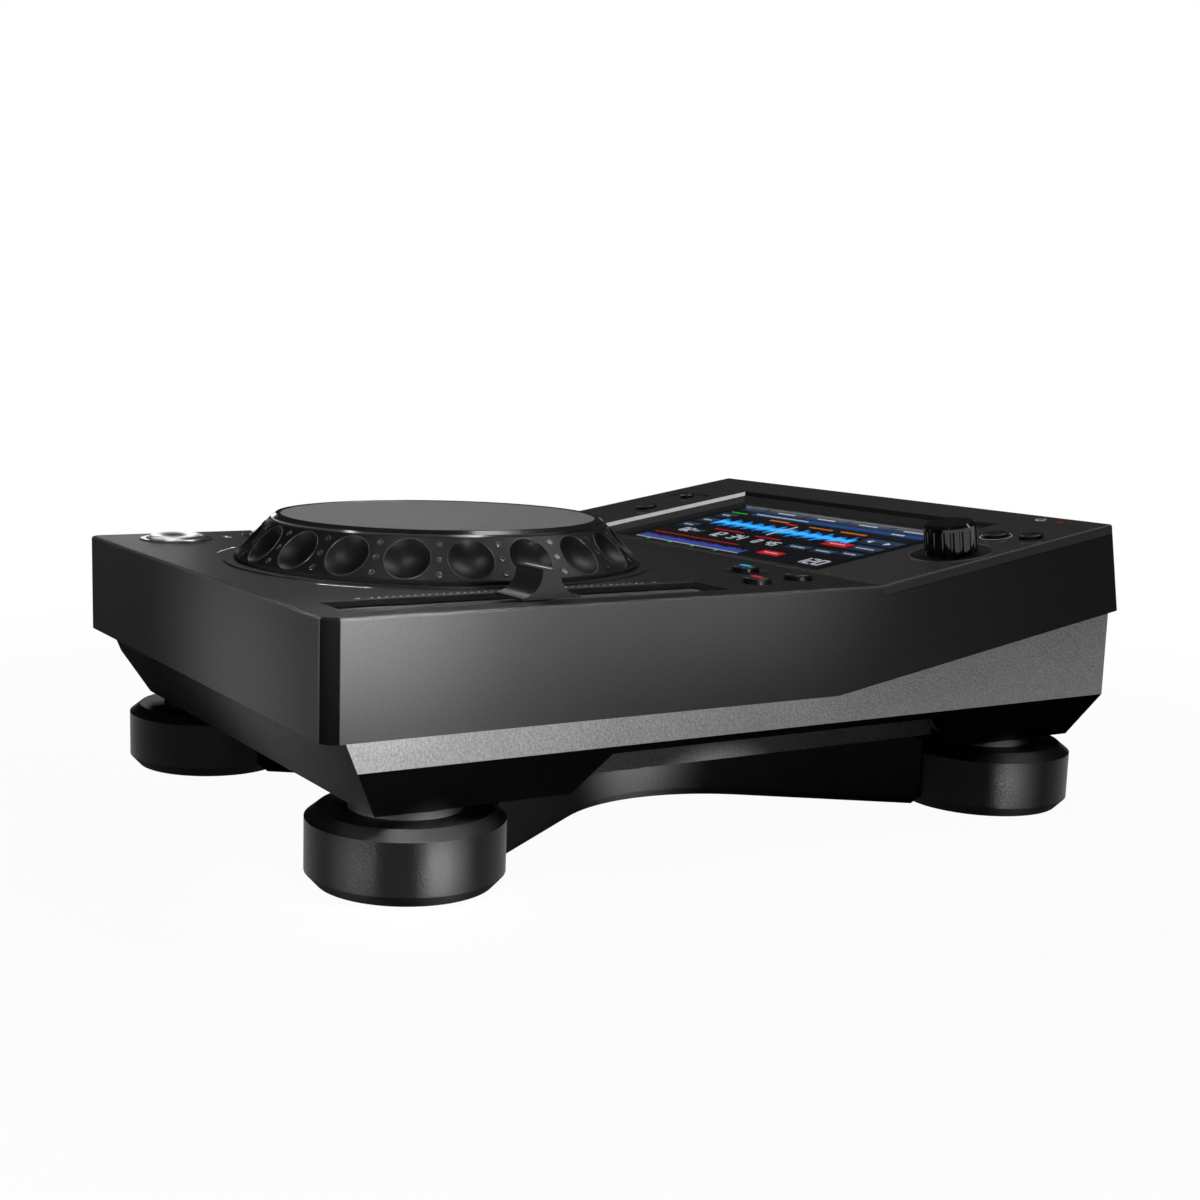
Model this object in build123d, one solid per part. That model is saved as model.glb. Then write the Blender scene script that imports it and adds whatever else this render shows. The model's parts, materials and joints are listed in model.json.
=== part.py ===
from build123d import *
import math
import os

os.makedirs("parts", exist_ok=True)

# A table-top media player for disc jockeys.
# +X is the user's right, +Y the rear, +Z up; the origin is on the floor, under the middle of the case.
# All lengths are in millimetres.

# Top case: edges are measured from the floor, the deck and the rear top edge down from the overall height.
case_width = 218.0
case_depth = 301.8
overall_height = 102.4
deck_drop = 18.9
case_edge_height = 49.1
rear_edge_height = 69.9
rear_top_drop = 2.1
rear_top_setback = 6.0
bend_from_front = 177.3
fold_from_front = 192.5
corner_radius = 5.0
rear_corner_radius = 1.0
edge_radius = 0.9
case_wall = 2.5

# Panels of the top case
deck_panel_thickness = 2.0
deck_wall = 2.0
deck_rim = 1.2
wedge_panel_thickness = 3.3

# Gaps between pieces
seam_gap = 0.2
seat_gap = 0.3
slide_gap = 0.35
running_gap = 0.05
overrun = 5.0

# Lower case: setbacks are measured inwards from the top case
front_setback_edge = 7.2
front_setback_fold = 11.1
front_setback_base = 20.0
rear_setback = 1.9
rear_setback_base = 9.6
side_setback_base = 10.5
tongue_gap = 0.15
tongue_rise = 4.0
base_fold_height = 39.7
base_height = 24.6
relief_height = 29.0
base_wall = 2.5
base_rib_width = 7.0
pocket_height = 37.3
pocket_setback = 14.0
pocket_from_front = 95.0
pocket_from_rear = 75.8
pocket_slope_share = 0.8

# Feet and plinth
foot_from_side = 26.9
foot_from_front = 38.0
foot_from_rear = 33.5
foot_radius = 29.84
foot_sole_radius = 26.6
foot_sole_bevel = 3.5
foot_wall_height = 19.4
foot_height = 22.3
foot_top_radius = 26.2
foot_bore = 6.5
foot_bore_depth = 12.0
neck_radius = 17.1
plinth_clearance = 0.5
plinth_arm_width = 38.6
plinth_side_radius = 58.0
plinth_end_radius = 45.0
plinth_bevel = 3.0
plinth_foot_gap = 0.6
screw_radius = 1.6
screw_head_radius = 3.2
screw_head_height = 3.0
case_post_radius = 3.5
front_post_from_side = 57.0
front_post_from_front = 28.9
rear_post_from_side = 9.27
rear_post_from_fold = 9.0

# Jog wheel
jog_offset = 1.0
jog_front_gap = 16.65
jog_fold_gap = 30.35
jog_trench_gap = 7.0
surround_width = 3.95
jog_lift = 0.5
jog_lip = 1.0
jog_run = 11.4
jog_shoulder_rise = 13.3
jog_web = 2.8
jog_skirt_width = 7.0
jog_hub_radius = 9.0
dimple_pitch = 19.4
dimple_radius = 7.7
dimple_depth = 2.8
plate_setback = 0.8
plate_band_height = 0.8
plate_band_bevel = 1.5
plate_height = 1.9
plate_rim_width = 1.6
plate_dish_depth = 0.25
surround_clearance = 0.6
jog_shaft_radius = 4.0
bush_wall = 3.0
bush_flange_radius = 9.5
bush_flange = 1.0
housing_flange_reach = 2.2
housing_flange = 2.5
housing_setback = 8.8
housing_wall = 2.0
housing_depth = 15.5
housing_boss_radius = 11.0
housing_boss_drop = 4.0
encoder_disc_radius = 20.0
encoder_disc_thickness = 1.2
sensor_width = 8.0
sensor_reach = 6.0
sensor_gap = 0.5

# Tempo slider
tempo_from_side = 20.0
trench_from_front = 12.3
trench_to_fold = 53.1
trench_width = 16.5
trench_bevel = 1.6
trench_end_margin = 17.55
lever_width = 1.6
lever_length = 6.0
lever_slot = 3.2
cap_offset = 2.0
cap_width = 15.5
cap_length = 20.0
cap_top_length = 6.0
cap_rise = 9.0
cap_lip = 0.9
cap_curve_share = 0.72
cap_pocket_depth = 5.0
fader_width = 12.5
fader_height = 9.0
fader_wall = 1.6
carriage_length = 10.0
carriage_width = 8.4
carriage_height = 4.8
rail_radius = 1.0
rail_spread = 5.4
fader_end_slack = 2.0

# Keys: deck places are shares of the half width and of the deck's length, wedge places start at the side
key_radius = 4.6
key_rise = 2.0
key_round = 0.8
key_flange = 1.2
key_stem_radius = 2.0
key_travel = 0.8
main_key_radius = 10.6
main_key_rise = 0.6
main_key_travel = 1.2
light_ring_radius = 13.2
light_ring_rise = 0.4
back_key_radius = 4.4
tag_key_radius = 3.9
flush_key_rise = 1.4
deck_key_shares = {
    "jog_mode_button": (0.583, 0.900),
    "master_tempo_button": (0.815, 0.823),
    "tempo_range_button": (0.794, 0.919),
    "track_back_button": (-0.908, 0.545),
    "track_forward_button": (-0.761, 0.545),
    "search_back_button": (-0.908, 0.680),
    "search_forward_button": (-0.761, 0.680),
    "loop_in_button": (-0.890, 0.909),
    "loop_out_button": (-0.725, 0.909),
    "loop_exit_button": (-0.560, 0.909),
}
main_key_shares = {
    "play_button": (-0.807, 0.140),
    "cue_button": (-0.807, 0.348),
}
back_key_from_side = 21.26
tag_key_from_side = 9.05
usb_stop_from_side = 24.42
back_key_share = 0.678
tag_key_share = 0.717
usb_stop_share = 0.403
wedge_key_radii = {
    "back_button": back_key_radius,
    "tag_button": tag_key_radius,
    "usb_stop_button": key_radius,
}

# Boards and switches
board_thickness = 1.6
deck_board_drop = 15.5
wedge_board_drop = 16.5
switch_size = 6.0
switch_height = 5.0
board_boss_radius = 2.5
left_board_width = 29.5
left_board_from_front = 15.0
left_board_ear_length = 24.0
left_board_ear_width = 24.0
board_to_fold = 5.6
right_board_width = 53.0
right_board_length = 36.0
left_boss_shares = ((-0.924, 0.2436), (-0.735, 0.2436), (-0.924, 0.794), (-0.735, 0.794))
right_boss_shares = ((0.924, 0.955), (0.510, 0.955), (0.924, 0.800), (0.510, 0.800))
wedge_board_start_share = 0.287
wedge_board_end_share = 0.841
wedge_boss_inset = 3.0

# Display
control_column = 36.0
display_from_fold = 4.0
display_rear_gap = 18.26
bezel_depth = 3.5
bezel_rim = 0.8
bezel_bevel = 3.6
glass_thickness = 1.8
module_margin = 2.4
module_thickness = 4.5

# Rotary selector
selector_from_side = 16.24
selector_share = 0.433
knob_radius = 8.8
knob_top_bevel = 1.0
knob_lift = 0.2
flute_count = 18
flute_radius = 0.75
dish_radius = 13.6
dish_depth = 1.6
selector_shaft_radius = 2.5
selector_bush_radius = 4.0
selector_body = 13.0
selector_plate = 2.5
collar_radius = 4.3
collar_height = 2.6
selector_travel = 0.8
push_switch_height = 2.5

# USB slot with its hinged cover, and the standby lamp
usb_from_side = 19.95
usb_share = 0.648
usb_slot_width = 12.6
usb_slot_length = 5.2
usb_wall = 0.8
usb_tongue = 1.8
flap_width = 19.0
flap_length = 9.0
flap_thickness = 1.5
flap_recess = 2.2
flap_gap = 0.4
flap_pin_radius = 0.55
flap_pin_length = 1.0
flap_pin_inset = 0.8
flap_tab_radius = 3.2
flap_tab_rise = 1.4
lamp_radius = 1.2
lamp_from_side = 18.0
lamp_share = 0.943

# Main board and the rear connector tray
main_board_side_gap = 21.0
main_board_from_front = 176.0
main_board_top = 46.0
main_boss_radius = 3.5
main_boss_inset = 8.0
chip_size = 14.0
chip_height = 2.2
tray_side_gap = 19.0
tray_low = 44.0
tray_height = 19.0
tray_depth = 9.5
tray_wall = 1.5
tray_board_gap = 0.5
socket_proud = 0.8
network_width = 16.0
network_length = 21.0
network_height = 13.5
network_slot_width = 11.8
network_slot_height = 8.4
network_slot_depth = 13.0
network_offset = 18.0
link_width = 12.0
link_length = 16.0
link_height = 11.2
link_slot_width = 8.6
link_slot_height = 7.8
link_slot_depth = 9.5
link_offset = -8.0
power_inlet_width = 9.0
power_inlet_length = 14.0
power_inlet_height = 11.0
power_inlet_bore = 3.1
power_inlet_depth = 9.5
power_inlet_pin = 1.0
power_inlet_from_end = 40.0
phono_block_width = 12.0
phono_block_length = 10.0
phono_block_height = 14.0
phono_radius = 4.15
phono_collar_radius = 5.2
phono_reach = 8.0
phono_bore = 1.6
phono_from_end = 18.0
phono_pitch = 20.0
power_key_radius = 4.0
power_key_rise = 3.0
power_key_travel = 2.0
power_key_from_end = 16.0
power_switch_size = 11.5
power_switch_length = 10.0
lock_slot_width = 7.0
lock_slot_height = 3.0
lock_slot_offset = -20.0
lock_slot_drop = 3.0

# Places worked out from the sizes above
half_width = case_width / 2
deck_height = overall_height - deck_drop
rear_top_height = overall_height - rear_top_drop
front_y = -case_depth / 2
rear_y = case_depth / 2
fold_y = front_y + fold_from_front
bend_y = front_y + bend_from_front
rear_top_y = rear_y - rear_top_setback
wedge_run = rear_top_y - fold_y
wedge_rise = rear_top_height - deck_height
wedge_length = math.hypot(wedge_run, wedge_rise)
wedge_sine = wedge_rise / wedge_length
wedge_cosine = wedge_run / wedge_length
wedge_slope = wedge_rise / wedge_run
rear_lean = rear_top_setback / (rear_top_height - rear_edge_height)
deck_under = deck_height - deck_panel_thickness - deck_wall
wedge_seat = wedge_panel_thickness + seam_gap
wedge_under = wedge_seat + deck_wall
cavity_half = half_width - case_wall
base_half = cavity_half - tongue_gap
floor_height = relief_height + base_wall
tempo_offset = half_width - tempo_from_side
surround_width_limit = tempo_offset - trench_width / 2 - jog_trench_gap - jog_offset
surround_depth_limit = (fold_from_front - jog_front_gap - jog_fold_gap) / 2
surround_radius = min(surround_width_limit, surround_depth_limit)
jog_y = front_y + jog_front_gap + surround_radius
jog_rim_radius = surround_radius - surround_width
jog_shoulder_radius = jog_rim_radius - jog_run
dimple_count = int(math.pi * (jog_rim_radius + jog_shoulder_radius) / dimple_pitch)
plate_band_radius = jog_shoulder_radius - plate_setback
plate_rim_radius = plate_band_radius - plate_band_bevel
plate_dish_radius = plate_rim_radius - plate_rim_width
housing_flange_radius = jog_rim_radius + housing_flange_reach
housing_radius = jog_rim_radius - housing_setback
jog_base = deck_height + jog_lift
jog_shoulder = jog_base + jog_shoulder_rise
housing_floor = deck_under - housing_depth
bush_top = deck_under - housing_flange / 2
disc_top = housing_floor - housing_boss_drop - seat_gap
trench_length = fold_from_front - trench_from_front - trench_to_fold
tempo_travel = trench_length / 2 - trench_end_margin
trench_y = front_y + trench_from_front + trench_length / 2
deck_board_top = deck_height - deck_board_drop
foot_x = half_width - foot_from_side
foot_front_y = front_y + foot_from_front
foot_pitch = case_depth - foot_from_front - foot_from_rear
foot_places = {
    "front_left": (-foot_x, foot_front_y),
    "front_right": (foot_x, foot_front_y),
    "rear_left": (-foot_x, foot_front_y + foot_pitch),
    "rear_right": (foot_x, foot_front_y + foot_pitch),
}
display_width = case_width - 2 * control_column
display_length = wedge_length - display_from_fold - display_rear_gap
wedge_board_start = wedge_board_start_share * wedge_length
wedge_board_length = (wedge_board_end_share - wedge_board_start_share) * wedge_length
board_edge_gap = tongue_gap + base_wall + seat_gap
selector_place = (half_width - selector_from_side, selector_share * wedge_length)
usb_place = (usb_from_side - half_width, usb_share * wedge_length)
lamp_place = (half_width - lamp_from_side, lamp_share * wedge_length)
wedge_key_places = {
    "back_button": (half_width - back_key_from_side, back_key_share * wedge_length),
    "tag_button": (half_width - tag_key_from_side, tag_key_share * wedge_length),
    "usb_stop_button": (usb_stop_from_side - half_width, usb_stop_share * wedge_length),
}
front_post_place = (half_width - front_post_from_side, front_y + front_post_from_front)
rear_post_place = (half_width - rear_post_from_side, fold_y + rear_post_from_fold)
main_board_width = case_width - 2 * main_board_side_gap
tray_width = case_width - 2 * tray_side_gap
tray_half = tray_width / 2
power_inlet_offset = power_inlet_from_end - tray_half
power_key_offset = power_key_from_end - tray_half
phono_offsets = (tray_half - phono_from_end - phono_pitch, tray_half - phono_from_end)
tray_floor_y = rear_y - rear_setback - tray_depth
main_board_rear = tray_floor_y - tray_wall - tray_board_gap
main_board_front = front_y + main_board_from_front
wedge_frame = Plane(
    origin=(0, fold_y, deck_height), x_dir=(1, 0, 0), z_dir=(0, -wedge_sine, wedge_cosine)
).location
base_center = (Align.CENTER, Align.CENTER, Align.MIN)


def disc(radius, height):
    return Cylinder(radius, height, align=base_center)


def block(length, width, height):
    return Box(length, width, height, align=base_center)


def slab(low, high):
    sizes = [high[i] - low[i] for i in range(3)]
    return Pos(*low) * Box(*sizes, align=(Align.MIN, Align.MIN, Align.MIN))


def side_profile(points, half):
    outline = make_face(Polyline(*points, close=True))
    return extrude(Plane.YZ * outline, amount=half, both=True)


def turned(points):
    return revolve(Plane.XZ * make_face(Polyline(*points, close=True)), Axis.Z)


def on_deck(shares):
    return Pos(shares[0] * half_width, front_y + shares[1] * fold_from_front, deck_height)


def on_wedge(x, up_slope, height):
    return wedge_frame * Pos(x, up_slope, height)


def wedge_place(place, height=0):
    return on_wedge(*place, height)


def through(place, radius, depth):
    return place * Pos(0, 0, -depth - overrun) * disc(radius, depth + 2 * overrun)


def write(shape, name):
    export_step(shape, f"parts/{name}.step")


def front_face_y(height):
    span = base_fold_height - base_height
    if height < base_fold_height:
        share = (height - base_height) / span
        setback = front_setback_base + share * (front_setback_fold - front_setback_base)
    else:
        share = (height - base_fold_height) / (case_edge_height - base_fold_height)
        setback = front_setback_fold + share * (front_setback_edge - front_setback_fold)
    return front_y + setback


def rear_face_y(height):
    share = min((height - base_height) / (base_fold_height - base_height), 1)
    return rear_y - rear_setback_base - share * (rear_setback - rear_setback_base)


def edge_line(y):
    rise = (rear_edge_height - case_edge_height) / (rear_y - bend_y)
    return case_edge_height + max(y - bend_y, 0) * rise


def case_blank():
    outline = [
        (front_y, case_edge_height),
        (bend_y, case_edge_height),
        (rear_y, rear_edge_height),
        (rear_top_y, rear_top_height),
        (fold_y, deck_height),
        (front_y, deck_height),
    ]
    blank = side_profile(outline, half_width)
    blank = fillet(blank.edges().filter_by(Axis.Z), corner_radius)
    rear_edges = [edge for edge in blank.edges() if edge.center().Y > rear_top_y]
    rear_edges = [edge for edge in rear_edges if abs(edge.center().X) > half_width - seam_gap]
    blank = fillet(rear_edges, rear_corner_radius)
    high_edges = [edge for edge in blank.edges() if edge.center().Z > deck_height - seam_gap]
    rim_edges = [edge for edge in high_edges if abs(edge.center().Y - fold_y) > seam_gap]
    return fillet(rim_edges, edge_radius)


def wedge_slab(depth, start):
    size = 2 * (wedge_length + half_width)
    return on_wedge(0, start, -depth) * Box(size, size, size, align=(Align.CENTER, Align.MIN, Align.MIN))


def case_cavity():
    drop = wedge_under / wedge_cosine
    inner_fold_y = fold_y + (drop - deck_panel_thickness - deck_wall) / wedge_slope
    inner_foot_y = rear_y - case_wall
    rise = deck_height - fold_y * wedge_slope - drop - rear_edge_height
    inner_rear_y = (inner_foot_y - rise * rear_lean) / (1 + wedge_slope * rear_lean)
    low = case_edge_height - overrun
    points = [
        (front_y + case_wall, low),
        (bend_y, low),
        (inner_foot_y, rear_edge_height - overrun),
        (inner_foot_y, rear_edge_height),
        (inner_rear_y, deck_height + (inner_rear_y - fold_y) * wedge_slope - drop),
        (inner_fold_y, deck_under),
        (front_y + case_wall, deck_under),
    ]
    return side_profile(points, cavity_half)


def deck_plate(gap, height, rear):
    low = (-half_width + deck_rim + gap, front_y + deck_rim + gap, deck_height - deck_panel_thickness)
    high = (half_width - deck_rim - gap, rear, low[2] + height)
    plate = slab(low, high)
    corners = plate.edges().filter_by(Axis.Z).group_by(Axis.Y)[0]
    return fillet(corners, corner_radius - deck_rim - gap)


def key_holes():
    cuts = []
    deck_depth = deck_panel_thickness + deck_wall
    for shares in deck_key_shares.values():
        cuts.append(through(on_deck(shares), key_radius + slide_gap, deck_depth))
    for shares in main_key_shares.values():
        cuts.append(through(on_deck(shares), main_key_radius + slide_gap, deck_depth))
    return cuts


def wedge_holes():
    cuts = []
    for name, place in wedge_key_places.items():
        cuts.append(through(wedge_place(place), wedge_key_radii[name] + slide_gap, wedge_under))
    cuts.append(through(wedge_place(selector_place), selector_bush_radius + slide_gap, wedge_under))
    return cuts


def lever_slot_cut():
    length = 2 * tempo_travel + lever_length + 2 * slide_gap
    cut = block(lever_slot, length, deck_wall + 2 * overrun)
    return Pos(tempo_offset, trench_y, deck_under - overrun) * cut


def display_cut(gap, depth):
    cut = block(display_width + 2 * gap, display_length + 2 * gap, depth + overrun)
    return on_wedge(0, display_from_fold + display_length / 2, -depth) * cut


def usb_cut(gap, depth):
    width = usb_slot_width + 2 * usb_wall + 2 * gap
    length = usb_slot_length + 2 * usb_wall + 2 * gap
    return wedge_place(usb_place, -depth) * block(width, length, depth + overrun)


def case_post(x, y, solid_case, low):
    place = Pos(x, y, low)
    height = edge_line(y) + tongue_rise - low
    lower = place * disc(case_post_radius, height)
    upper = place * disc(case_post_radius, overall_height) & solid_case
    bore = place * disc(screw_radius + running_gap, height)
    return lower + upper - bore


def wedge_boss_places():
    front = (cavity_half - board_edge_gap - board_boss_radius, wedge_board_start + wedge_boss_inset)
    beside_module = display_width / 2 + module_margin + seat_gap + board_boss_radius
    rear = (beside_module, wedge_board_start + wedge_board_length - wedge_boss_inset)
    return [(side * x, up_slope) for side in (-1, 1) for x, up_slope in (front, rear)]


def board_bosses():
    bosses = []
    height = deck_under - deck_board_top
    for shares in left_boss_shares + right_boss_shares:
        place = on_deck(shares) * Pos(0, 0, -deck_board_drop)
        bosses.append(place * disc(board_boss_radius, height))
    for place in wedge_boss_places():
        boss = disc(board_boss_radius, wedge_board_drop - wedge_under)
        bosses.append(wedge_place(place, -wedge_board_drop) * boss)
    return bosses


def top_case(blank):
    solid_case = blank - wedge_slab(wedge_seat, 0)
    solid_case -= deck_plate(0, overall_height, fold_y + deck_rim / 2)
    case = solid_case - case_cavity()
    case -= key_holes() + wedge_holes()
    case -= Pos(jog_offset, jog_y, deck_under - overrun) * disc(housing_radius, deck_wall + 2 * overrun)
    case -= lever_slot_cut()
    case -= display_cut(seam_gap, wedge_under + overrun)
    case -= usb_cut(seat_gap, wedge_under + overrun)
    for (x, y), low in ((front_post_place, floor_height), (rear_post_place, base_fold_height + base_wall)):
        case += [case_post(side * x, y, solid_case, low) for side in (-1, 1)]
    return case + board_bosses()


def deck_panel():
    panel = deck_plate(seam_gap, deck_panel_thickness, fold_y - seam_gap)
    well = disc(jog_rim_radius - jog_skirt_width, 2 * overrun)
    panel -= Pos(jog_offset, jog_y, deck_height - overrun) * well
    panel -= key_holes()
    for shares in main_key_shares.values():
        panel -= through(on_deck(shares), light_ring_radius + running_gap, deck_panel_thickness)
    window = block(trench_width, trench_length, deck_panel_thickness + overrun)
    panel -= Pos(tempo_offset, trench_y, deck_height - deck_panel_thickness) * window
    sharp = [edge for edge in panel.edges().filter_by(Axis.Y) if is_trench_edge(edge)]
    sharp += [edge for edge in panel.edges().filter_by(Axis.X) if is_trench_edge(edge)]
    return chamfer(sharp, trench_bevel)


def is_trench_edge(edge):
    middle = edge.center()
    near_x = abs(middle.X - tempo_offset) < trench_width / 2 + seam_gap
    near_y = abs(middle.Y - trench_y) < trench_length / 2 + seam_gap
    return near_x and near_y and middle.Z > deck_height - seam_gap


def wedge_panel(blank):
    panel = blank & wedge_slab(wedge_panel_thickness, seam_gap)
    panel -= wedge_holes()
    panel -= display_cut(seam_gap, wedge_under)
    sphere_radius = (dish_radius ** 2 + dish_depth ** 2) / (2 * dish_depth)
    panel -= wedge_place(selector_place, sphere_radius - dish_depth) * Sphere(sphere_radius)
    recess = block(flap_width + 2 * flap_gap, flap_length + 2 * flap_gap, flap_recess + overrun)
    panel -= wedge_place(usb_place, -flap_recess) * recess
    panel -= usb_cut(-usb_wall, wedge_under)
    for side in (-1, 1):
        panel -= flap_pin(side, flap_pin_radius + running_gap, flap_pin_length + 2 * flap_gap)
    return panel - through(wedge_place(lamp_place), lamp_radius + running_gap, wedge_panel_thickness)


def flap_pin(side, radius, length):
    place = wedge_place(usb_place, -flap_thickness / 2 - seam_gap)
    x = side * (flap_width + length) / 2
    return place * Pos(x, flap_length / 2 - flap_pin_inset, 0) * Rot(0, 90, 0) * Cylinder(radius, length)


def usb_flap():
    place = wedge_place(usb_place, -flap_thickness - seam_gap)
    flap = block(flap_width, flap_length, flap_thickness)
    tab = disc(flap_tab_radius, flap_thickness + flap_tab_rise)
    tab = fillet(tab.edges().group_by(Axis.Z)[-1], flap_tab_rise / 2)
    flap = place * (flap + Pos(0, -flap_length / 2 + flap_tab_radius, 0) * tab)
    for side in (-1, 1):
        flap += flap_pin(side, flap_pin_radius, flap_pin_length)
    return flap


def usb_socket():
    height = wedge_board_drop - wedge_seat
    place = wedge_place(usb_place, -wedge_board_drop)
    shell = block(usb_slot_width + 2 * usb_wall, usb_slot_length + 2 * usb_wall, height)
    shell -= Pos(0, 0, usb_wall) * block(usb_slot_width, usb_slot_length, height)
    shell += block(usb_slot_width - 2 * usb_wall, usb_tongue, height - usb_wall)
    return place * shell


def base_outline(top_gap):
    return [
        (front_face_y(case_edge_height - top_gap), case_edge_height - top_gap),
        (front_face_y(base_fold_height), base_fold_height),
        (front_face_y(base_height), base_height),
        (rear_face_y(base_height), base_height),
        (rear_face_y(base_fold_height), base_fold_height),
        (rear_face_y(rear_edge_height), edge_line(rear_face_y(rear_edge_height)) - top_gap),
        (bend_y, case_edge_height - top_gap),
    ]


def base_side_bevels():
    foot_half = half_width - side_setback_base
    points = [
        (base_half, base_fold_height),
        (foot_half, base_height),
        (foot_half, base_height - overrun),
        (half_width + overrun, base_height - overrun),
        (half_width + overrun, base_fold_height),
    ]
    face = Plane.XZ * make_face(Polyline(*points, close=True))
    right = extrude(face, amount=case_depth, both=True)
    return [right, mirror(right, Plane.YZ)]


def pocket_profile(top):
    drop = pocket_height - base_height + overrun
    low = pocket_height - drop
    front = front_y + pocket_from_front
    rear = rear_y - pocket_from_rear
    shift = (pocket_height - top) * pocket_slope_share
    run = drop * pocket_slope_share
    return [(front - shift, top), (rear + shift, top), (rear + run, low), (front - run, low)]


def base_blank():
    blank = side_profile(base_outline(seat_gap), base_half) - base_side_bevels()
    blank -= side_profile(pocket_profile(relief_height), case_width)
    sides = side_profile(pocket_profile(pocket_height), case_width)
    core = 2 * (half_width - pocket_setback)
    sides -= Box(core, 2 * case_depth, 2 * overall_height)
    return blank - sides


def base_tongue():
    lean = tongue_rise * rear_lean
    rear_inner = rear_y - case_wall - tongue_gap
    points = [
        (front_y + case_wall + tongue_gap, case_edge_height - seat_gap),
        (bend_y, case_edge_height - seat_gap),
        (rear_inner, edge_line(rear_inner) - seat_gap),
        (rear_inner - lean, edge_line(rear_inner) + tongue_rise),
        (bend_y, case_edge_height + tongue_rise),
        (front_y + case_wall + tongue_gap, case_edge_height + tongue_rise),
    ]
    return side_profile(points, base_half)


def base_cavity():
    ledge = base_fold_height + base_wall
    top = overall_height
    inner_front = front_face_y(case_edge_height) + base_wall
    inner_rear = rear_face_y(base_fold_height) - base_wall
    upper = [
        (front_face_y(ledge) + base_wall, ledge),
        (inner_front, case_edge_height),
        (inner_front, top),
        (inner_rear, top),
        (inner_rear, ledge),
    ]
    lower = [
        (front_face_y(floor_height) + base_wall, floor_height),
        (front_face_y(base_fold_height) + base_wall, base_fold_height),
        (front_face_y(base_fold_height) + base_wall, ledge + overrun),
        (inner_rear - base_wall, ledge + overrun),
        (inner_rear - base_wall, base_fold_height),
        (rear_face_y(floor_height) - 2 * base_wall, floor_height),
    ]
    lower_half = half_width - pocket_setback - base_rib_width
    return side_profile(upper, base_half - base_wall) + side_profile(lower, lower_half)


def base_screw_places():
    places = []
    for (x, y), low in ((front_post_place, base_height), (rear_post_place, pocket_height)):
        places += [(side * x, y, low) for side in (-1, 1)]
    return places


def main_boss_places():
    x = main_board_width / 2 - main_boss_inset
    rows = (main_board_front + main_boss_inset, main_board_rear - main_boss_inset)
    return [(side * x, y) for side in (-1, 1) for y in rows]


def lower_case(blank):
    case = blank + base_tongue() - base_cavity()
    for x, y in main_boss_places():
        boss = disc(main_boss_radius, main_board_top - board_thickness - floor_height)
        case += Pos(x, y, floor_height) * boss
    tray_hole = slab(
        (-tray_half - seam_gap, tray_floor_y - tray_wall, tray_low - seam_gap),
        (tray_half + seam_gap, rear_y + overrun, tray_low + tray_height + seam_gap),
    )
    case -= tray_hole
    for x, y, low in base_screw_places():
        case -= Pos(x, y, low) * disc(screw_radius + running_gap, case_edge_height - low)
        case -= Pos(x, y, low - overrun) * disc(screw_head_radius + slide_gap, screw_head_height + overrun)
    for x, y in foot_places.values():
        case -= Pos(x, y, base_height - overrun) * disc(screw_radius + running_gap, base_wall + overrun)
    return case


def base_plinth(base):
    center_y = foot_front_y + foot_pitch / 2
    reach = math.hypot(foot_x, foot_pitch / 2)
    angle = math.degrees(math.atan2(foot_pitch / 2, foot_x))
    height = relief_height - plinth_clearance
    arm = block(2 * reach, plinth_arm_width, height)
    cross = Rot(0, 0, angle) * arm + Rot(0, 0, -angle) * arm
    inner = cross.edges().filter_by(Axis.Z).sort_by(lambda edge: math.hypot(edge.center().X, edge.center().Y))
    ends = [edge for edge in inner[:4] if abs(edge.center().Y) > abs(edge.center().X)]
    cross = fillet(ends, plinth_end_radius)
    inner = cross.edges().filter_by(Axis.Z).sort_by(lambda edge: math.hypot(edge.center().X, edge.center().Y))
    cross = fillet(inner[:2], plinth_side_radius)
    cross = chamfer(cross.edges().group_by(Axis.Z)[0], plinth_bevel)
    cross = Pos(0, center_y, plinth_clearance) * cross
    for x, y in foot_places.values():
        cross -= Pos(x, y, -overrun) * disc(foot_radius + plinth_foot_gap, overall_height)
    return cross - base


def foot():
    points = [
        (screw_radius + running_gap, foot_bore_depth),
        (foot_bore, foot_bore_depth),
        (foot_bore, 0),
        (foot_sole_radius, 0),
        (foot_radius, foot_sole_bevel),
        (foot_radius, foot_wall_height),
        (foot_top_radius, foot_height),
        (screw_radius + running_gap, foot_height),
    ]
    return turned(points)


def foot_neck():
    height = base_height - foot_height
    return Pos(0, 0, foot_height) * (disc(neck_radius, height) - disc(screw_radius + running_gap, height))


def foot_screw():
    head = Pos(0, 0, foot_bore_depth - screw_head_height) * disc(screw_head_radius, screw_head_height)
    shank = Pos(0, 0, foot_bore_depth) * disc(screw_radius, base_height + base_wall - foot_bore_depth)
    return head + shank


def case_screw(low):
    head = disc(screw_head_radius, screw_head_height)
    shank = disc(screw_radius, case_edge_height - low)
    return Pos(0, 0, low) * (head + shank)


def screws():
    solids = [Pos(x, y, 0) * foot_screw() for x, y in foot_places.values()]
    solids += [Pos(x, y, 0) * case_screw(low) for x, y, low in base_screw_places()]
    return Compound(solids)


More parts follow.
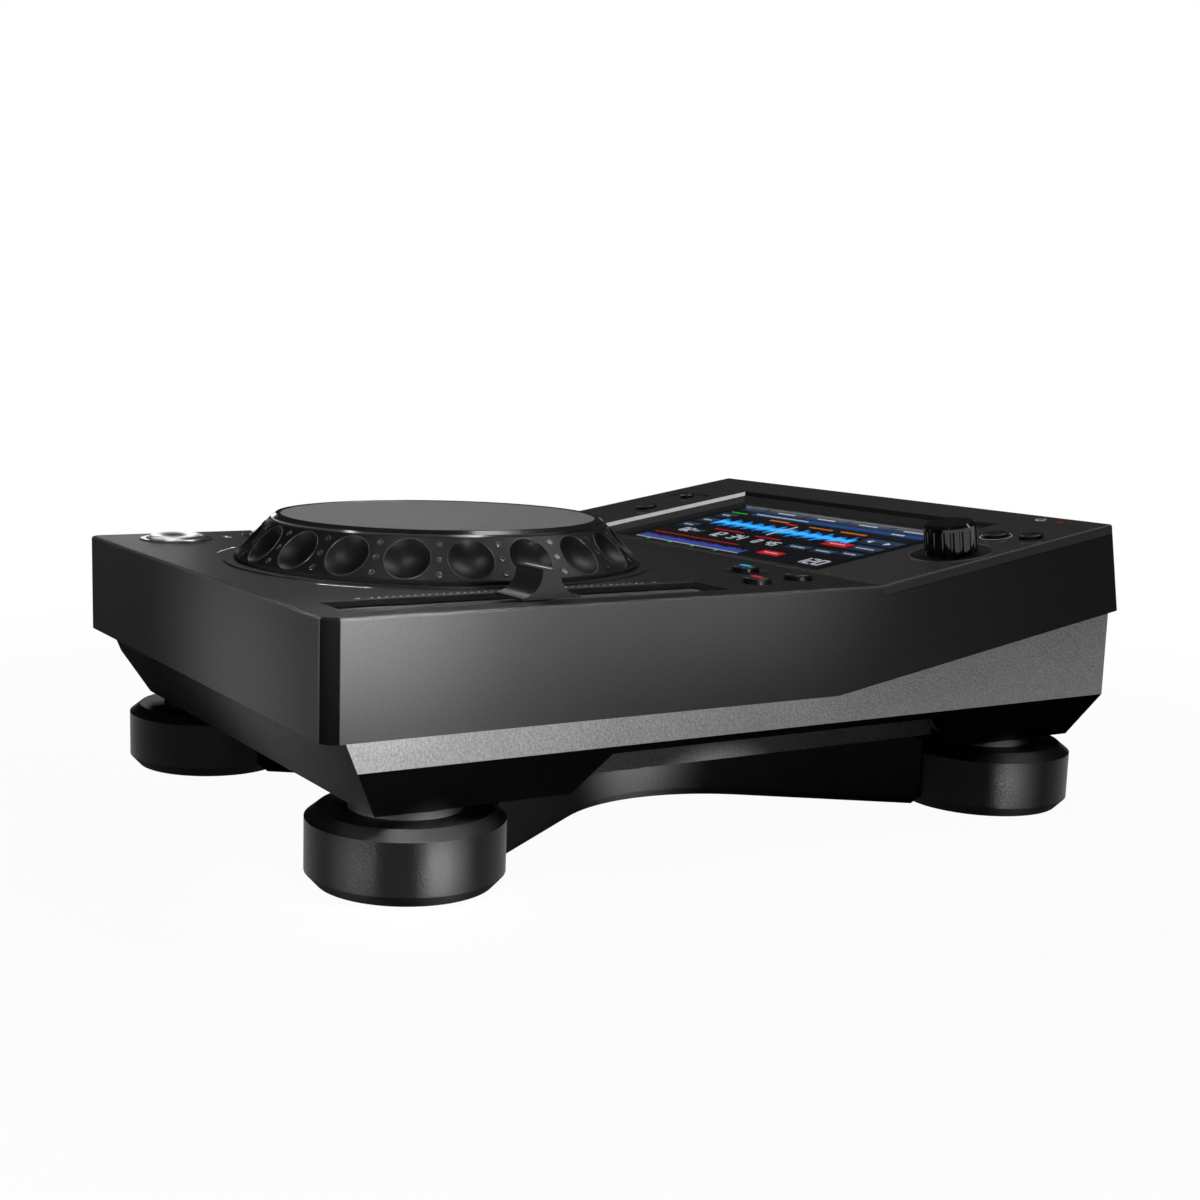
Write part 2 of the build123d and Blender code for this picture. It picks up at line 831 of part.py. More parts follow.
def jog_ring():
    web_low = jog_shoulder - jog_web
    hub_low = bush_top + bush_flange + seat_gap
    bore = jog_shaft_radius + running_gap
    points = [
        (jog_rim_radius - jog_skirt_width, jog_base),
        (jog_rim_radius, jog_base),
        (jog_rim_radius, jog_base + jog_lip),
        (jog_shoulder_radius, jog_shoulder),
        (bore, jog_shoulder),
        (bore, hub_low),
        (jog_hub_radius, hub_low),
        (jog_hub_radius, web_low),
        (jog_shoulder_radius - jog_skirt_width, web_low),
    ]
    ring = turned(points)
    run = jog_rim_radius - jog_shoulder_radius
    rise = jog_shoulder_rise - jog_lip
    slant = math.hypot(run, rise)
    sphere_radius = (dimple_radius ** 2 + dimple_depth ** 2) / (2 * dimple_depth)
    stand_off = sphere_radius - dimple_depth
    center_r = (jog_rim_radius + jog_shoulder_radius) / 2 + stand_off * rise / slant
    center_z = (jog_base + jog_lip + jog_shoulder) / 2 + stand_off * run / slant
    balls = PolarLocations(center_r, dimple_count)
    return ring - [Pos(0, 0, center_z) * spot * Sphere(sphere_radius) for spot in balls]


def jog_top_plate():
    top = jog_shoulder + plate_height
    points = [
        (0, jog_shoulder),
        (plate_band_radius, jog_shoulder),
        (plate_band_radius, jog_shoulder + plate_band_height),
        (plate_rim_radius, top),
        (plate_dish_radius, top),
        (plate_dish_radius - plate_dish_depth, top - plate_dish_depth),
        (0, top - plate_dish_depth),
    ]
    return turned(points)


def jog_surround():
    inner = jog_rim_radius + surround_clearance
    ring = disc(surround_radius, jog_lift) - disc(inner, jog_lift)
    return Pos(0, 0, deck_height) * ring


def jog_shaft():
    low = disc_top - encoder_disc_thickness
    return Pos(0, 0, low) * disc(jog_shaft_radius, jog_shoulder - low)


def jog_encoder_disc():
    plate = disc(encoder_disc_radius, encoder_disc_thickness)
    plate -= disc(jog_shaft_radius + running_gap, encoder_disc_thickness)
    return Pos(0, 0, disc_top - encoder_disc_thickness) * plate


def jog_housing():
    bore = jog_shaft_radius + bush_wall + running_gap
    points = [
        (housing_flange_radius, deck_under),
        (housing_flange_radius, deck_under - housing_flange),
        (housing_radius, deck_under - housing_flange),
        (housing_radius, housing_floor),
        (housing_boss_radius, housing_floor),
        (housing_boss_radius, housing_floor - housing_boss_drop),
        (bore, housing_floor - housing_boss_drop),
        (bore, bush_top),
        (housing_boss_radius, bush_top),
        (housing_boss_radius, housing_floor + housing_wall),
        (housing_radius - housing_wall, housing_floor + housing_wall),
        (housing_radius - housing_wall, deck_under),
    ]
    return turned(points)


def jog_bush():
    low = housing_floor - housing_boss_drop
    inner = jog_shaft_radius + running_gap
    points = [
        (inner, low),
        (jog_shaft_radius + bush_wall, low),
        (jog_shaft_radius + bush_wall, bush_top),
        (bush_flange_radius, bush_top),
        (bush_flange_radius, bush_top + bush_flange),
        (inner, bush_top + bush_flange),
    ]
    return turned(points)


def jog_sensor():
    low = disc_top - encoder_disc_thickness - sensor_gap - housing_wall
    body = Pos(encoder_disc_radius, 0, low) * block(2 * sensor_reach, sensor_width, housing_floor - low)
    slot = block(2 * sensor_reach, sensor_width + overrun, encoder_disc_thickness + 2 * sensor_gap)
    shift = encoder_disc_radius + sensor_gap - sensor_reach
    return body - Pos(shift, 0, disc_top - encoder_disc_thickness - sensor_gap) * slot


def tempo_cap():
    base = cap_length / 2
    top = cap_top_length / 2
    bottom = seat_gap
    dip_y = top + (base - top) * (1 - cap_curve_share)
    dip_z = cap_lip + (cap_rise - cap_lip) * (1 - cap_curve_share)
    outline = Line((-base, bottom), (-base, cap_lip))
    outline += ThreePointArc((-base, cap_lip), (-dip_y, dip_z), (-top, cap_rise))
    outline += Line((-top, cap_rise), (top, cap_rise))
    outline += ThreePointArc((top, cap_rise), (dip_y, dip_z), (base, cap_lip))
    outline += Line((base, cap_lip), (base, bottom))
    outline += Line((base, bottom), (-base, bottom))
    cap = extrude(Plane.YZ * make_face(outline), amount=cap_width / 2, both=True)
    pocket = block(lever_width + 2 * running_gap, lever_length + 2 * running_gap, cap_pocket_depth)
    cap = Pos(cap_offset, 0, 0) * cap - Pos(0, 0, bottom) * pocket
    return Pos(tempo_offset, trench_y, deck_height) * cap


def fader_length():
    return 2 * tempo_travel + carriage_length + 2 * fader_end_slack


def fader_body():
    inner = block(fader_width - 2 * fader_wall, fader_length(), fader_height - 2 * fader_wall)
    body = block(fader_width, fader_length() + 2 * fader_wall, fader_height)
    body -= Pos(0, 0, fader_wall) * inner
    mouth = block(lever_slot, 2 * tempo_travel + lever_length + 2 * slide_gap, fader_height)
    body -= Pos(0, 0, fader_wall) * mouth
    return Pos(tempo_offset, trench_y, deck_under - fader_height) * body


def rail_places():
    height = deck_under - fader_height / 2
    return [Pos(tempo_offset + side * rail_spread / 2, trench_y, height) * Rot(90, 0, 0) for side in (-1, 1)]


def fader_rails():
    return Compound([place * Cylinder(rail_radius, fader_length()) for place in rail_places()])


def tempo_lever():
    middle = deck_under - fader_height / 2
    top = deck_height + seat_gap + cap_pocket_depth
    carriage = Box(carriage_width, carriage_length, carriage_height)
    tang = block(lever_width, lever_length, top - middle)
    lever = Pos(tempo_offset, trench_y, middle) * (carriage + tang)
    return lever - [place * Cylinder(rail_radius + running_gap, fader_length()) for place in rail_places()]


def push_key(radius, rise, under, reach):
    low = -under - seat_gap
    cap = Pos(0, 0, low) * disc(radius, rise - low)
    cap = fillet(cap.edges().sort_by(Axis.Z)[-1], min(key_round, rise))
    flange = Pos(0, 0, low - key_flange) * disc(radius + key_flange, key_flange)
    stem = Pos(0, 0, -reach) * disc(key_stem_radius, reach + low - key_flange)
    return cap + flange + stem


def key_reach(drop, travel):
    return drop - switch_height - travel - seat_gap


def switch():
    return block(switch_size, switch_size, switch_height)


def deck_keys():
    under = deck_panel_thickness + deck_wall
    keys = {}
    for name, shares in deck_key_shares.items():
        reach = key_reach(deck_board_drop, key_travel)
        keys[name] = on_deck(shares) * push_key(key_radius, key_rise, under, reach)
    for name, shares in main_key_shares.items():
        reach = key_reach(deck_board_drop, main_key_travel)
        keys[name] = on_deck(shares) * push_key(main_key_radius, main_key_rise, under, reach)
    return keys


def wedge_keys():
    keys = {}
    for name, place in wedge_key_places.items():
        reach = key_reach(wedge_board_drop, key_travel)
        keys[name] = wedge_place(place) * push_key(wedge_key_radii[name], flush_key_rise, wedge_under, reach)
    return keys


def key_switches():
    places = list(deck_key_shares.values()) + list(main_key_shares.values())
    solids = [on_deck(shares) * Pos(0, 0, -deck_board_drop) * switch() for shares in places]
    solids += [wedge_place(place, -wedge_board_drop) * switch() for place in wedge_key_places.values()]
    push = disc(selector_shaft_radius, push_switch_height)
    solids.append(wedge_place(selector_place, -wedge_board_drop) * push)
    return Compound(solids + [power_switch()])


def light_ring(shares):
    ring = disc(light_ring_radius, deck_panel_thickness + light_ring_rise)
    ring -= disc(main_key_radius + slide_gap, deck_panel_thickness + light_ring_rise)
    ring = chamfer(ring.edges().group_by(Axis.Z)[-1], light_ring_rise / 2)
    return on_deck(shares) * Pos(0, 0, -deck_panel_thickness) * ring


def left_key_board():
    low_z = deck_board_top - board_thickness
    left = -cavity_half + board_edge_gap
    rear = fold_y - board_to_fold
    low = (left, front_y + left_board_from_front, low_z)
    board = slab(low, (left + left_board_width, rear, deck_board_top))
    ear = slab(
        (left + left_board_width, rear - left_board_ear_length, low_z),
        (left + left_board_width + left_board_ear_width, rear, deck_board_top),
    )
    return board + ear


def right_key_board():
    right = cavity_half - board_edge_gap
    rear = fold_y - board_to_fold
    low = (right - right_board_width, rear - right_board_length, deck_board_top - board_thickness)
    return slab(low, (right, rear, deck_board_top))


def wedge_board():
    plate = block(2 * (cavity_half - board_edge_gap), wedge_board_length, board_thickness)
    middle = wedge_board_start + wedge_board_length / 2
    return on_wedge(0, middle, -wedge_board_drop - board_thickness) * plate


def display_bezel():
    frame = block(display_width, display_length, bezel_depth)
    wide = Rectangle(display_width - 2 * bezel_rim, display_length - 2 * bezel_rim)
    shrink = bezel_rim + bezel_bevel
    narrow = Rectangle(display_width - 2 * shrink, display_length - 2 * shrink)
    funnel = loft([narrow.face(), Pos(0, 0, bezel_depth) * wide.face()])
    return on_wedge(0, display_from_fold + display_length / 2, -bezel_depth) * (frame - funnel)


def display_glass():
    plate = block(display_width, display_length, glass_thickness)
    return on_wedge(0, display_from_fold + display_length / 2, -bezel_depth - glass_thickness) * plate


def display_module():
    width = display_width + 2 * module_margin
    length = display_length + 2 * module_margin
    plate = block(width, length, module_thickness)
    return on_wedge(0, display_from_fold + display_length / 2, -wedge_under - module_thickness) * plate


def knob_top():
    rim = (knob_radius - knob_top_bevel) * wedge_sine
    return (overall_height - deck_height - selector_place[1] * wedge_sine - rim) / wedge_cosine


def selector_knob():
    height = knob_top() - knob_lift
    knob = disc(knob_radius, height)
    knob = chamfer(knob.edges().group_by(Axis.Z)[-1], knob_top_bevel)
    flute = disc(flute_radius, height - 2 * knob_top_bevel)
    knob -= [spot * flute for spot in PolarLocations(knob_radius, flute_count)]
    knob -= disc(selector_shaft_radius + running_gap, height / 2)
    return wedge_place(selector_place, knob_lift) * knob


def selector_shaft():
    low = wedge_board_drop - push_switch_height - selector_travel - seat_gap
    top = knob_lift + (knob_top() - knob_lift) / 2
    return wedge_place(selector_place, -low) * disc(selector_shaft_radius, low + top)


def selector_encoder():
    height = wedge_board_drop - wedge_under
    body = block(selector_body, selector_body, height)
    body += Pos(0, 0, height) * disc(selector_bush_radius, wedge_under - dish_depth - seat_gap)
    body -= disc(selector_shaft_radius + running_gap, wedge_board_drop)
    body -= disc(collar_radius + slide_gap, height - selector_plate)
    return wedge_place(selector_place, -wedge_board_drop) * body


def selector_collar():
    ring = disc(collar_radius, collar_height) - disc(selector_shaft_radius + running_gap, collar_height)
    top = wedge_under + selector_plate + seat_gap
    return wedge_place(selector_place, -top - collar_height) * ring


def standby_lamp():
    lamp = disc(lamp_radius, wedge_panel_thickness + seam_gap)
    return wedge_place(lamp_place, -wedge_panel_thickness) * lamp


def main_board():
    low = (-main_board_width / 2, main_board_front, main_board_top - board_thickness)
    board = slab(low, (main_board_width / 2, main_board_rear, main_board_top))
    middle = (main_board_front + main_board_rear) / 2
    for x in (-chip_size, chip_size / 2, 2 * chip_size):
        board += Pos(x, middle, main_board_top) * block(chip_size, chip_size, chip_height)
    return board


def rear_tray():
    back = rear_y - rear_setback
    tray = slab((-tray_half, tray_floor_y - tray_wall, tray_low), (tray_half, back, tray_low + tray_height))
    hollow_low = (-tray_half + tray_wall, tray_floor_y, tray_low + tray_wall)
    hollow_high = (tray_half - tray_wall, back + overrun, tray_low + tray_height - tray_wall)
    tray -= slab(hollow_low, hollow_high)
    for offset, width, height in (
        (network_offset, network_width, network_height),
        (link_offset, link_width, link_height),
        (power_inlet_offset, power_inlet_width, power_inlet_height),
    ):
        tray -= socket_hole(offset, width, height)
    for offset in phono_offsets:
        tray -= rear_bore(offset, main_board_top + phono_block_height / 2, phono_collar_radius + slide_gap)
    tray -= rear_bore(power_key_offset, main_board_top + power_switch_size / 2, power_key_radius + slide_gap)
    lock = Box(lock_slot_width, 2 * overrun, lock_slot_height)
    lock_height = tray_low + tray_height - tray_wall - lock_slot_drop
    return tray - Pos(lock_slot_offset, tray_floor_y, lock_height) * lock


def socket_hole(offset, width, height):
    hole = block(width + 2 * seam_gap, 2 * overrun, height + 2 * seam_gap)
    return Pos(offset, tray_floor_y, main_board_top - seam_gap) * hole


def rear_bore(offset, height, radius):
    return Pos(offset, tray_floor_y, height) * Rot(90, 0, 0) * Cylinder(radius, 2 * overrun)


def socket_block(offset, width, length, height):
    mouth = tray_floor_y + socket_proud
    low = (offset - width / 2, mouth - length, main_board_top)
    return slab(low, (offset + width / 2, mouth, main_board_top + height))


def socket_mouth(offset, width, depth, height, middle):
    mouth = tray_floor_y + socket_proud
    low = (offset - width / 2, mouth - depth, middle - height / 2)
    return slab(low, (offset + width / 2, mouth + overrun, middle + height / 2))


def network_socket():
    body = socket_block(network_offset, network_width, network_length, network_height)
    middle = main_board_top + network_height / 2
    mouth = socket_mouth(network_offset, network_slot_width, network_slot_depth, network_slot_height, middle)
    return body - mouth


def link_socket():
    body = socket_block(link_offset, link_width, link_length, link_height)
    middle = main_board_top + link_height / 2
    mouth = socket_mouth(link_offset, link_slot_width, link_slot_depth, link_slot_height, middle)
    return body - mouth


def power_inlet():
    body = socket_block(power_inlet_offset, power_inlet_width, power_inlet_length, power_inlet_height)
    middle = main_board_top + power_inlet_height / 2
    place = Pos(power_inlet_offset, tray_floor_y + socket_proud, middle) * Rot(90, 0, 0)
    bore = Cylinder(power_inlet_bore, power_inlet_depth, align=base_center)
    pin = Cylinder(power_inlet_pin, power_inlet_depth, align=base_center)
    return body - place * (bore - pin)


def phono_jack(offset):
    rear = tray_floor_y - tray_wall - seam_gap
    low = (offset - phono_block_width / 2, rear - phono_block_length, main_board_top)
    high = (offset + phono_block_width / 2, rear, main_board_top + phono_block_height)
    collar_length = tray_wall + 2 * seam_gap
    end = rear + collar_length + phono_reach
    place = Pos(offset, end, main_board_top + phono_block_height / 2) * Rot(90, 0, 0)
    barrel = disc(phono_radius, phono_reach) - disc(phono_bore, phono_reach)
    collar = Pos(0, 0, phono_reach) * disc(phono_collar_radius, collar_length)
    return slab(low, high) + place * (barrel + collar)


def power_switch():
    rear = tray_floor_y - tray_wall - power_key_travel - key_flange - 2 * seat_gap
    half = power_switch_size / 2
    low = (power_key_offset - half, rear - power_switch_length, main_board_top)
    return slab(low, (power_key_offset + half, rear, main_board_top + power_switch_size))


def power_button():
    height = main_board_top + power_switch_size / 2
    inner = tray_wall + seat_gap
    place = Pos(power_key_offset, tray_floor_y + power_key_rise, height) * Rot(90, 0, 0)
    key = disc(power_key_radius, power_key_rise + inner)
    key = fillet(key.edges().group_by(Axis.Z)[0], key_round)
    key += Pos(0, 0, power_key_rise + inner) * disc(power_key_radius + key_flange, key_flange)
    return place * key


def at_jog(shape):
    return Pos(jog_offset, jog_y, 0) * shape


def build():
    blank = case_blank()
    base = base_blank()
    pieces = {
        "top_case": top_case(blank),
        "deck_panel": deck_panel(),
        "wedge_panel": wedge_panel(blank),
        "lower_case": lower_case(base),
        "base_plinth": base_plinth(base),
        "foot_necks": Compound([Pos(x, y, 0) * foot_neck() for x, y in foot_places.values()]),
        "screws": screws(),
        "jog_ring": at_jog(jog_ring()),
        "jog_top_plate": at_jog(jog_top_plate()),
        "jog_shaft": at_jog(jog_shaft()),
        "jog_encoder_disc": at_jog(jog_encoder_disc()),
        "jog_surround": at_jog(jog_surround()),
        "jog_housing": at_jog(jog_housing()),
        "jog_bush": at_jog(jog_bush()),
        "jog_sensor": at_jog(jog_sensor()),
        "tempo_cap": tempo_cap(),
        "tempo_lever": tempo_lever(),
        "fader_body": fader_body(),
        "fader_rails": fader_rails(),
        "light_rings": Compound([light_ring(shares) for shares in main_key_shares.values()]),
        "key_switches": key_switches(),
        "left_key_board": left_key_board(),
        "right_key_board": right_key_board(),
        "wedge_board": wedge_board(),
        "display_bezel": display_bezel(),
        "display_glass": display_glass(),
        "display_module": display_module(),
        "selector_knob": selector_knob(),
        "selector_shaft": selector_shaft(),
        "selector_encoder": selector_encoder(),
        "selector_collar": selector_collar(),
        "usb_socket": usb_socket(),
        "usb_flap": usb_flap(),
        "standby_lamp": standby_lamp(),
        "main_board": main_board(),
        "rear_tray": rear_tray(),
        "network_socket": network_socket(),
        "link_socket": link_socket(),
        "power_inlet": power_inlet(),
        "phono_jacks": Compound([phono_jack(offset) for offset in phono_offsets]),
        "power_button": power_button(),
    }
    for name, (x, y) in foot_places.items():
        pieces[f"foot_{name}"] = Pos(x, y, 0) * foot()
    pieces.update(deck_keys())
    pieces.update(wedge_keys())
    return pieces


for piece_name, piece in build().items():
    write(piece, piece_name)
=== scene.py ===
import json
import math
import random
from collections import namedtuple

import bpy
from mathutils import Matrix, Vector


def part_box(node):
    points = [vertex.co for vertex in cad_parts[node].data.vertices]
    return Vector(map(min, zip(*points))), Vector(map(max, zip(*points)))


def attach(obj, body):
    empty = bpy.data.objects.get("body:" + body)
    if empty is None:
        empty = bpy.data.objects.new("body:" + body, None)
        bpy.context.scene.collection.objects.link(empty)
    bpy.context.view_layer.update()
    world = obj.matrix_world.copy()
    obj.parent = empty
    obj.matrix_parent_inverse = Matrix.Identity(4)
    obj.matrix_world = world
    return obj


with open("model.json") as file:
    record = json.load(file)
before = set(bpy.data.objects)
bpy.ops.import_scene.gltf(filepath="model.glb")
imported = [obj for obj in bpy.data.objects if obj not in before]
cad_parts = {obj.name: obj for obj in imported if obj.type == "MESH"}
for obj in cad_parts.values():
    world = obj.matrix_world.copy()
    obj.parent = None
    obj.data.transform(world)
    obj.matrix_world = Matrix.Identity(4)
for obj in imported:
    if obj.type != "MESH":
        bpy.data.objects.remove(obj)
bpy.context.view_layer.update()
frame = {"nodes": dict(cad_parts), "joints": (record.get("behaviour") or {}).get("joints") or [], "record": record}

nodes = frame["nodes"]
joints = {joint["name"]: joint for joint in frame["joints"]}
mm = 0.001
picture_seed = 7
draw = random.Random(picture_seed)

# Camera: where the photograph was taken from
camera_place = Vector((0.5201, -0.3333, 0.1538))
camera_azimuth = 60.872
camera_pitch = -9.2216
camera_roll = 1.2654
camera_sensor = 36.0
camera_lens = 51.552
camera_shift = (0.1001, 0.02666)
camera_near = 0.01

# Places read from the frame
fold_gap = 0.2 * mm
deck_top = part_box("deck_panel")[1].z
fold_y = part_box("deck_panel")[1].y + fold_gap
half_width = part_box("top_case")[1].x
front_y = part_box("top_case")[0].y
lower_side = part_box("lower_case")[1].x
wedge_normal = Vector(joints["selector_turn"]["axis"])
wedge_up = Vector((0, wedge_normal.z, -wedge_normal.y))
jog_axis = Vector(joints["jog_turn"]["pos_m"])

# Sizes that the added trim shares
print_height = 0.06 * mm
seam_angle = math.radians(35)
round_steps = 96
ring_steps = 64
dot_steps = 16

# Where one finish of a piece ends and the next begins; some of these zones are painted shade or painted light
skin_depth = 0.05 * mm
# painted shade on the rounded front corners of the case
corner_shade_width = 4.0 * mm
corner_shade_depth = 4.4 * mm
# painted shade at the foot of the jog skirt
skirt_shade_height = 1.9 * mm
bezel_edge_depth = 1.3 * mm
# painted shade inside the tempo slider trench
trench_half = 9.7 * mm
# painted shade on the side lap of the wedge panel
lap_depth = 0.6 * mm
band_foot_height = 39.75 * mm
# painted light on the pocket face under the case
pocket_depth = 8.0 * mm
pocket_half_length = 80.0 * mm
# painted light on the front faces of the lower case
lower_fold_height = 39.7 * mm
lower_front_setback = 11.12 * mm
lower_front_slope = 0.589
# painted shade on the bottom bevel of each foot
sole_bevel_height = 3.6 * mm
# painted shade in the knob's dish
dish_radius = 13.5 * mm
disc_radius = 53.4 * mm


# Shapes: each is a list of points and a list of faces

def joined(shapes):
    points, faces = [], []
    for more_points, more_faces in shapes:
        start = len(points)
        points += more_points
        faces += [[start + corner for corner in face] for face in more_faces]
    return points, faces


def moved(shape, matrix):
    return [matrix @ Vector(point) for point in shape[0]], shape[1]


def plate(low, high):
    points = [(x, y, z) for z in (low[2], high[2]) for y in (low[1], high[1]) for x in (low[0], high[0])]
    faces = [(0, 2, 3, 1), (4, 5, 7, 6), (0, 1, 5, 4), (1, 3, 7, 5), (3, 2, 6, 7), (2, 0, 4, 6)]
    return points, faces


def printed_bar(width, length):
    return plate((-width / 2, -length / 2, 0), (width / 2, length / 2, print_height))


def prism(outline, low, high):
    count = len(outline)
    points = [(x, y, low) for x, y in outline] + [(x, y, high) for x, y in outline]
    sides = [(i, (i + 1) % count, count + (i + 1) % count, count + i) for i in range(count)]
    return points, [tuple(reversed(range(count))), tuple(range(count, 2 * count))] + sides


def in_mm(profile):
    return [(radius * mm, height * mm) for radius, height in profile]


def turned(profile, steps=round_steps):
    points, faces, rows = [], [], []
    for radius, height in profile:
        if radius == 0:
            rows.append([len(points)] * steps)
            points.append((0, 0, height))
            continue
        rows.append(list(range(len(points), len(points) + steps)))
        turns = [2 * math.pi * step / steps for step in range(steps)]
        points += [(radius * math.cos(turn), radius * math.sin(turn), height) for turn in turns]
    closed = profile[0][0] != 0 or profile[-1][0] != 0
    pairs = list(zip(rows, rows[1:])) + ([(rows[-1], rows[0])] if closed else [])
    for lower, upper in pairs:
        for step in range(steps):
            after = (step + 1) % steps
            corners = [lower[step], lower[after], upper[after], upper[step]]
            face = list(dict.fromkeys(corners))
            if len(face) > 2:
                faces.append(face)
    return points, faces


def tube(path, radius, sides=8):
    count = len(path)
    points, faces = [], []
    for index, point in enumerate(path):
        ahead = (path[(index + 1) % count] - path[index - 1]).normalized()
        out = ahead.orthogonal().normalized()
        if index:
            out = (last_out - ahead * last_out.dot(ahead)).normalized()
        last_out = out
        side = ahead.cross(out)
        for step in range(sides):
            turn = 2 * math.pi * step / sides
            points.append(point + (out * math.cos(turn) + side * math.sin(turn)) * radius)
    for index in range(count):
        here = index * sides
        after = (index + 1) % count * sides
        for step in range(sides):
            beside = (step + 1) % sides
            faces.append((here + step, here + beside, after + beside, after + step))
    return points, faces


def ring_spot(radius, turn):
    return radius * math.cos(turn), radius * math.sin(turn)


def arc_outline(radius, width, turn_from, turn_to, steps=24):
    turns = [turn_from + (turn_to - turn_from) * step / steps for step in range(steps + 1)]
    outer = [ring_spot(radius + width / 2, turn) for turn in turns]
    inner = [ring_spot(radius - width / 2, turn) for turn in reversed(turns)]
    return outer + inner


def add_piece(name, shape, finish, body, matrix=None):
    mesh = bpy.data.meshes.new(name)
    mesh.from_pydata([tuple(point) for point in shape[0]], [], shape[1])
    mesh.shade_smooth()
    mesh.set_sharp_from_angle(angle=seam_angle)
    mesh.materials.append(finish)
    piece = bpy.data.objects.new(name, mesh)
    bpy.context.scene.collection.objects.link(piece)
    if matrix is not None:
        piece.matrix_world = matrix
    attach(piece, body)


# Places on the deck and on the wedge

def on_deck(x, y):
    return Matrix.Translation((x, y, deck_top))


def on_wedge(x, up_slope, lift=0.0):
    place = Vector((x, fold_y, deck_top)) + wedge_up * up_slope + wedge_normal * lift
    turn = Matrix((Vector((1, 0, 0)), wedge_up, wedge_normal)).transposed()
    return Matrix.Translation(place) @ turn.to_4x4()


def wedge_box(node):
    back = on_wedge(0, 0).inverted()
    points = [back @ vertex.co for vertex in nodes[node].data.vertices]
    low = Vector([min(point[axis] for point in points) for axis in range(3)])
    high = Vector([max(point[axis] for point in points) for axis in range(3)])
    return low, high


def wedge_middle(node):
    low, high = wedge_box(node)
    return (low + high) / 2


def middle(node):
    low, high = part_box(node)
    return (low + high) / 2


# Nodes of the shader trees

def linked_or_set(tree, socket, value):
    if isinstance(value, bpy.types.NodeSocket):
        tree.links.new(value, socket)
    else:
        socket.default_value = value


def math_node(tree, operation, *values):
    node = tree.nodes.new("ShaderNodeMath")
    node.operation = operation
    for socket, value in zip(node.inputs, values):
        linked_or_set(tree, socket, value)
    return node.outputs[0]


def vector_node(tree, operation, *values):
    node = tree.nodes.new("ShaderNodeVectorMath")
    node.operation = operation
    for socket, value in zip(node.inputs, values):
        linked_or_set(tree, socket, value)
    return node


def noise_node(tree, place, scale, detail):
    node = tree.nodes.new("ShaderNodeTexNoise")
    node.inputs["Detail"].default_value = detail
    tree.links.new(place, node.inputs["Vector"])
    linked_or_set(tree, node.inputs["Scale"], scale)
    return node.outputs["Fac"]


def scaled_color(tree, color, gain):
    node = vector_node(tree, "SCALE", color)
    tree.links.new(gain, node.inputs["Scale"])
    return node.outputs["Vector"]


def object_place(tree):
    return tree.nodes.new("ShaderNodeTexCoord").outputs["Object"]


def object_axis(tree, axis):
    split = tree.nodes.new("ShaderNodeSeparateXYZ")
    tree.links.new(object_place(tree), split.inputs[0])
    return split.outputs[axis]


def from_middle(tree):
    return math_node(tree, "ABSOLUTE", object_axis(tree, "X"))


def blended(tree, mask, first, second, kind="RGBA"):
    mix = tree.nodes.new("ShaderNodeMix")
    mix.data_type = kind
    tree.links.new(mask, mix.inputs["Factor"])
    tree.links.new(first, mix.inputs["A"])
    tree.links.new(second, mix.inputs["B"])
    return mix.outputs["Result"]


def blended_value(tree, mask, first, second):
    return blended(tree, mask, first, second, "FLOAT")


# Shader groups

grain_detail = 2.0
grain_share = 0.7
cloud_scale = 22.0
cloud_detail = 4.0
cloud_share = 0.3
mean_level = 0.5
line_detail = 3.0
grid_ground = 0.8
grid_swing = 0.5


def new_group(name, inputs, outputs):
    group = bpy.data.node_groups.new(name, "ShaderNodeTree")
    for label, kind in inputs:
        group.interface.new_socket(label, in_out="INPUT", socket_type=kind)
    for label, kind in outputs:
        group.interface.new_socket(label, in_out="OUTPUT", socket_type=kind)
    return group, group.nodes.new("NodeGroupInput"), group.nodes.new("NodeGroupOutput")


def moulded_grain_group():
    inputs = [
        ("Color", "NodeSocketColor"),
        ("Color Spread", "NodeSocketFloat"),
        ("Roughness", "NodeSocketFloat"),
        ("Roughness Spread", "NodeSocketFloat"),
        ("Grain Scale", "NodeSocketFloat"),
    ]
    outputs = [
        ("Color", "NodeSocketColor"),
        ("Roughness", "NodeSocketFloat"),
        ("Height", "NodeSocketFloat"),
    ]
    group, given, made = new_group("moulded_grain", inputs, outputs)
    place = object_place(group)
    grain = noise_node(group, place, given.outputs["Grain Scale"], grain_detail)
    cloud = noise_node(group, place, cloud_scale, cloud_detail)
    fine = math_node(group, "MULTIPLY", grain, grain_share)
    broad = math_node(group, "MULTIPLY", cloud, cloud_share)
    swing = math_node(group, "SUBTRACT", math_node(group, "ADD", fine, broad), mean_level)
    gain = math_node(group, "MULTIPLY_ADD", swing, given.outputs["Color Spread"], 1.0)
    spread = given.outputs["Roughness Spread"]
    rough = math_node(group, "MULTIPLY_ADD", swing, spread, given.outputs["Roughness"])
    group.links.new(scaled_color(group, given.outputs["Color"], gain), made.inputs["Color"])
    group.links.new(rough, made.inputs["Roughness"])
    group.links.new(grain, made.inputs["Height"])
    return group


def turning_marks_group():
    inputs = [("Center", "NodeSocketVector"), ("Lines Per Metre", "NodeSocketFloat")]
    outputs = [("Radius", "NodeSocketFloat"), ("Lines", "NodeSocketFloat")]
    group, given, made = new_group("turning_marks", inputs, outputs)
    away = vector_node(group, "SUBTRACT", object_place(group), given.outputs["Center"])
    flat = vector_node(group, "MULTIPLY", away.outputs["Vector"], (1, 1, 0))
    radius = vector_node(group, "LENGTH", flat.outputs["Vector"]).outputs["Value"]
    along = group.nodes.new("ShaderNodeCombineXYZ")
    group.links.new(radius, along.inputs["X"])
    lines = noise_node(group, along.outputs[0], given.outputs["Lines Per Metre"], line_detail)
    group.links.new(radius, made.inputs["Radius"])
    group.links.new(lines, made.inputs["Lines"])
    return group


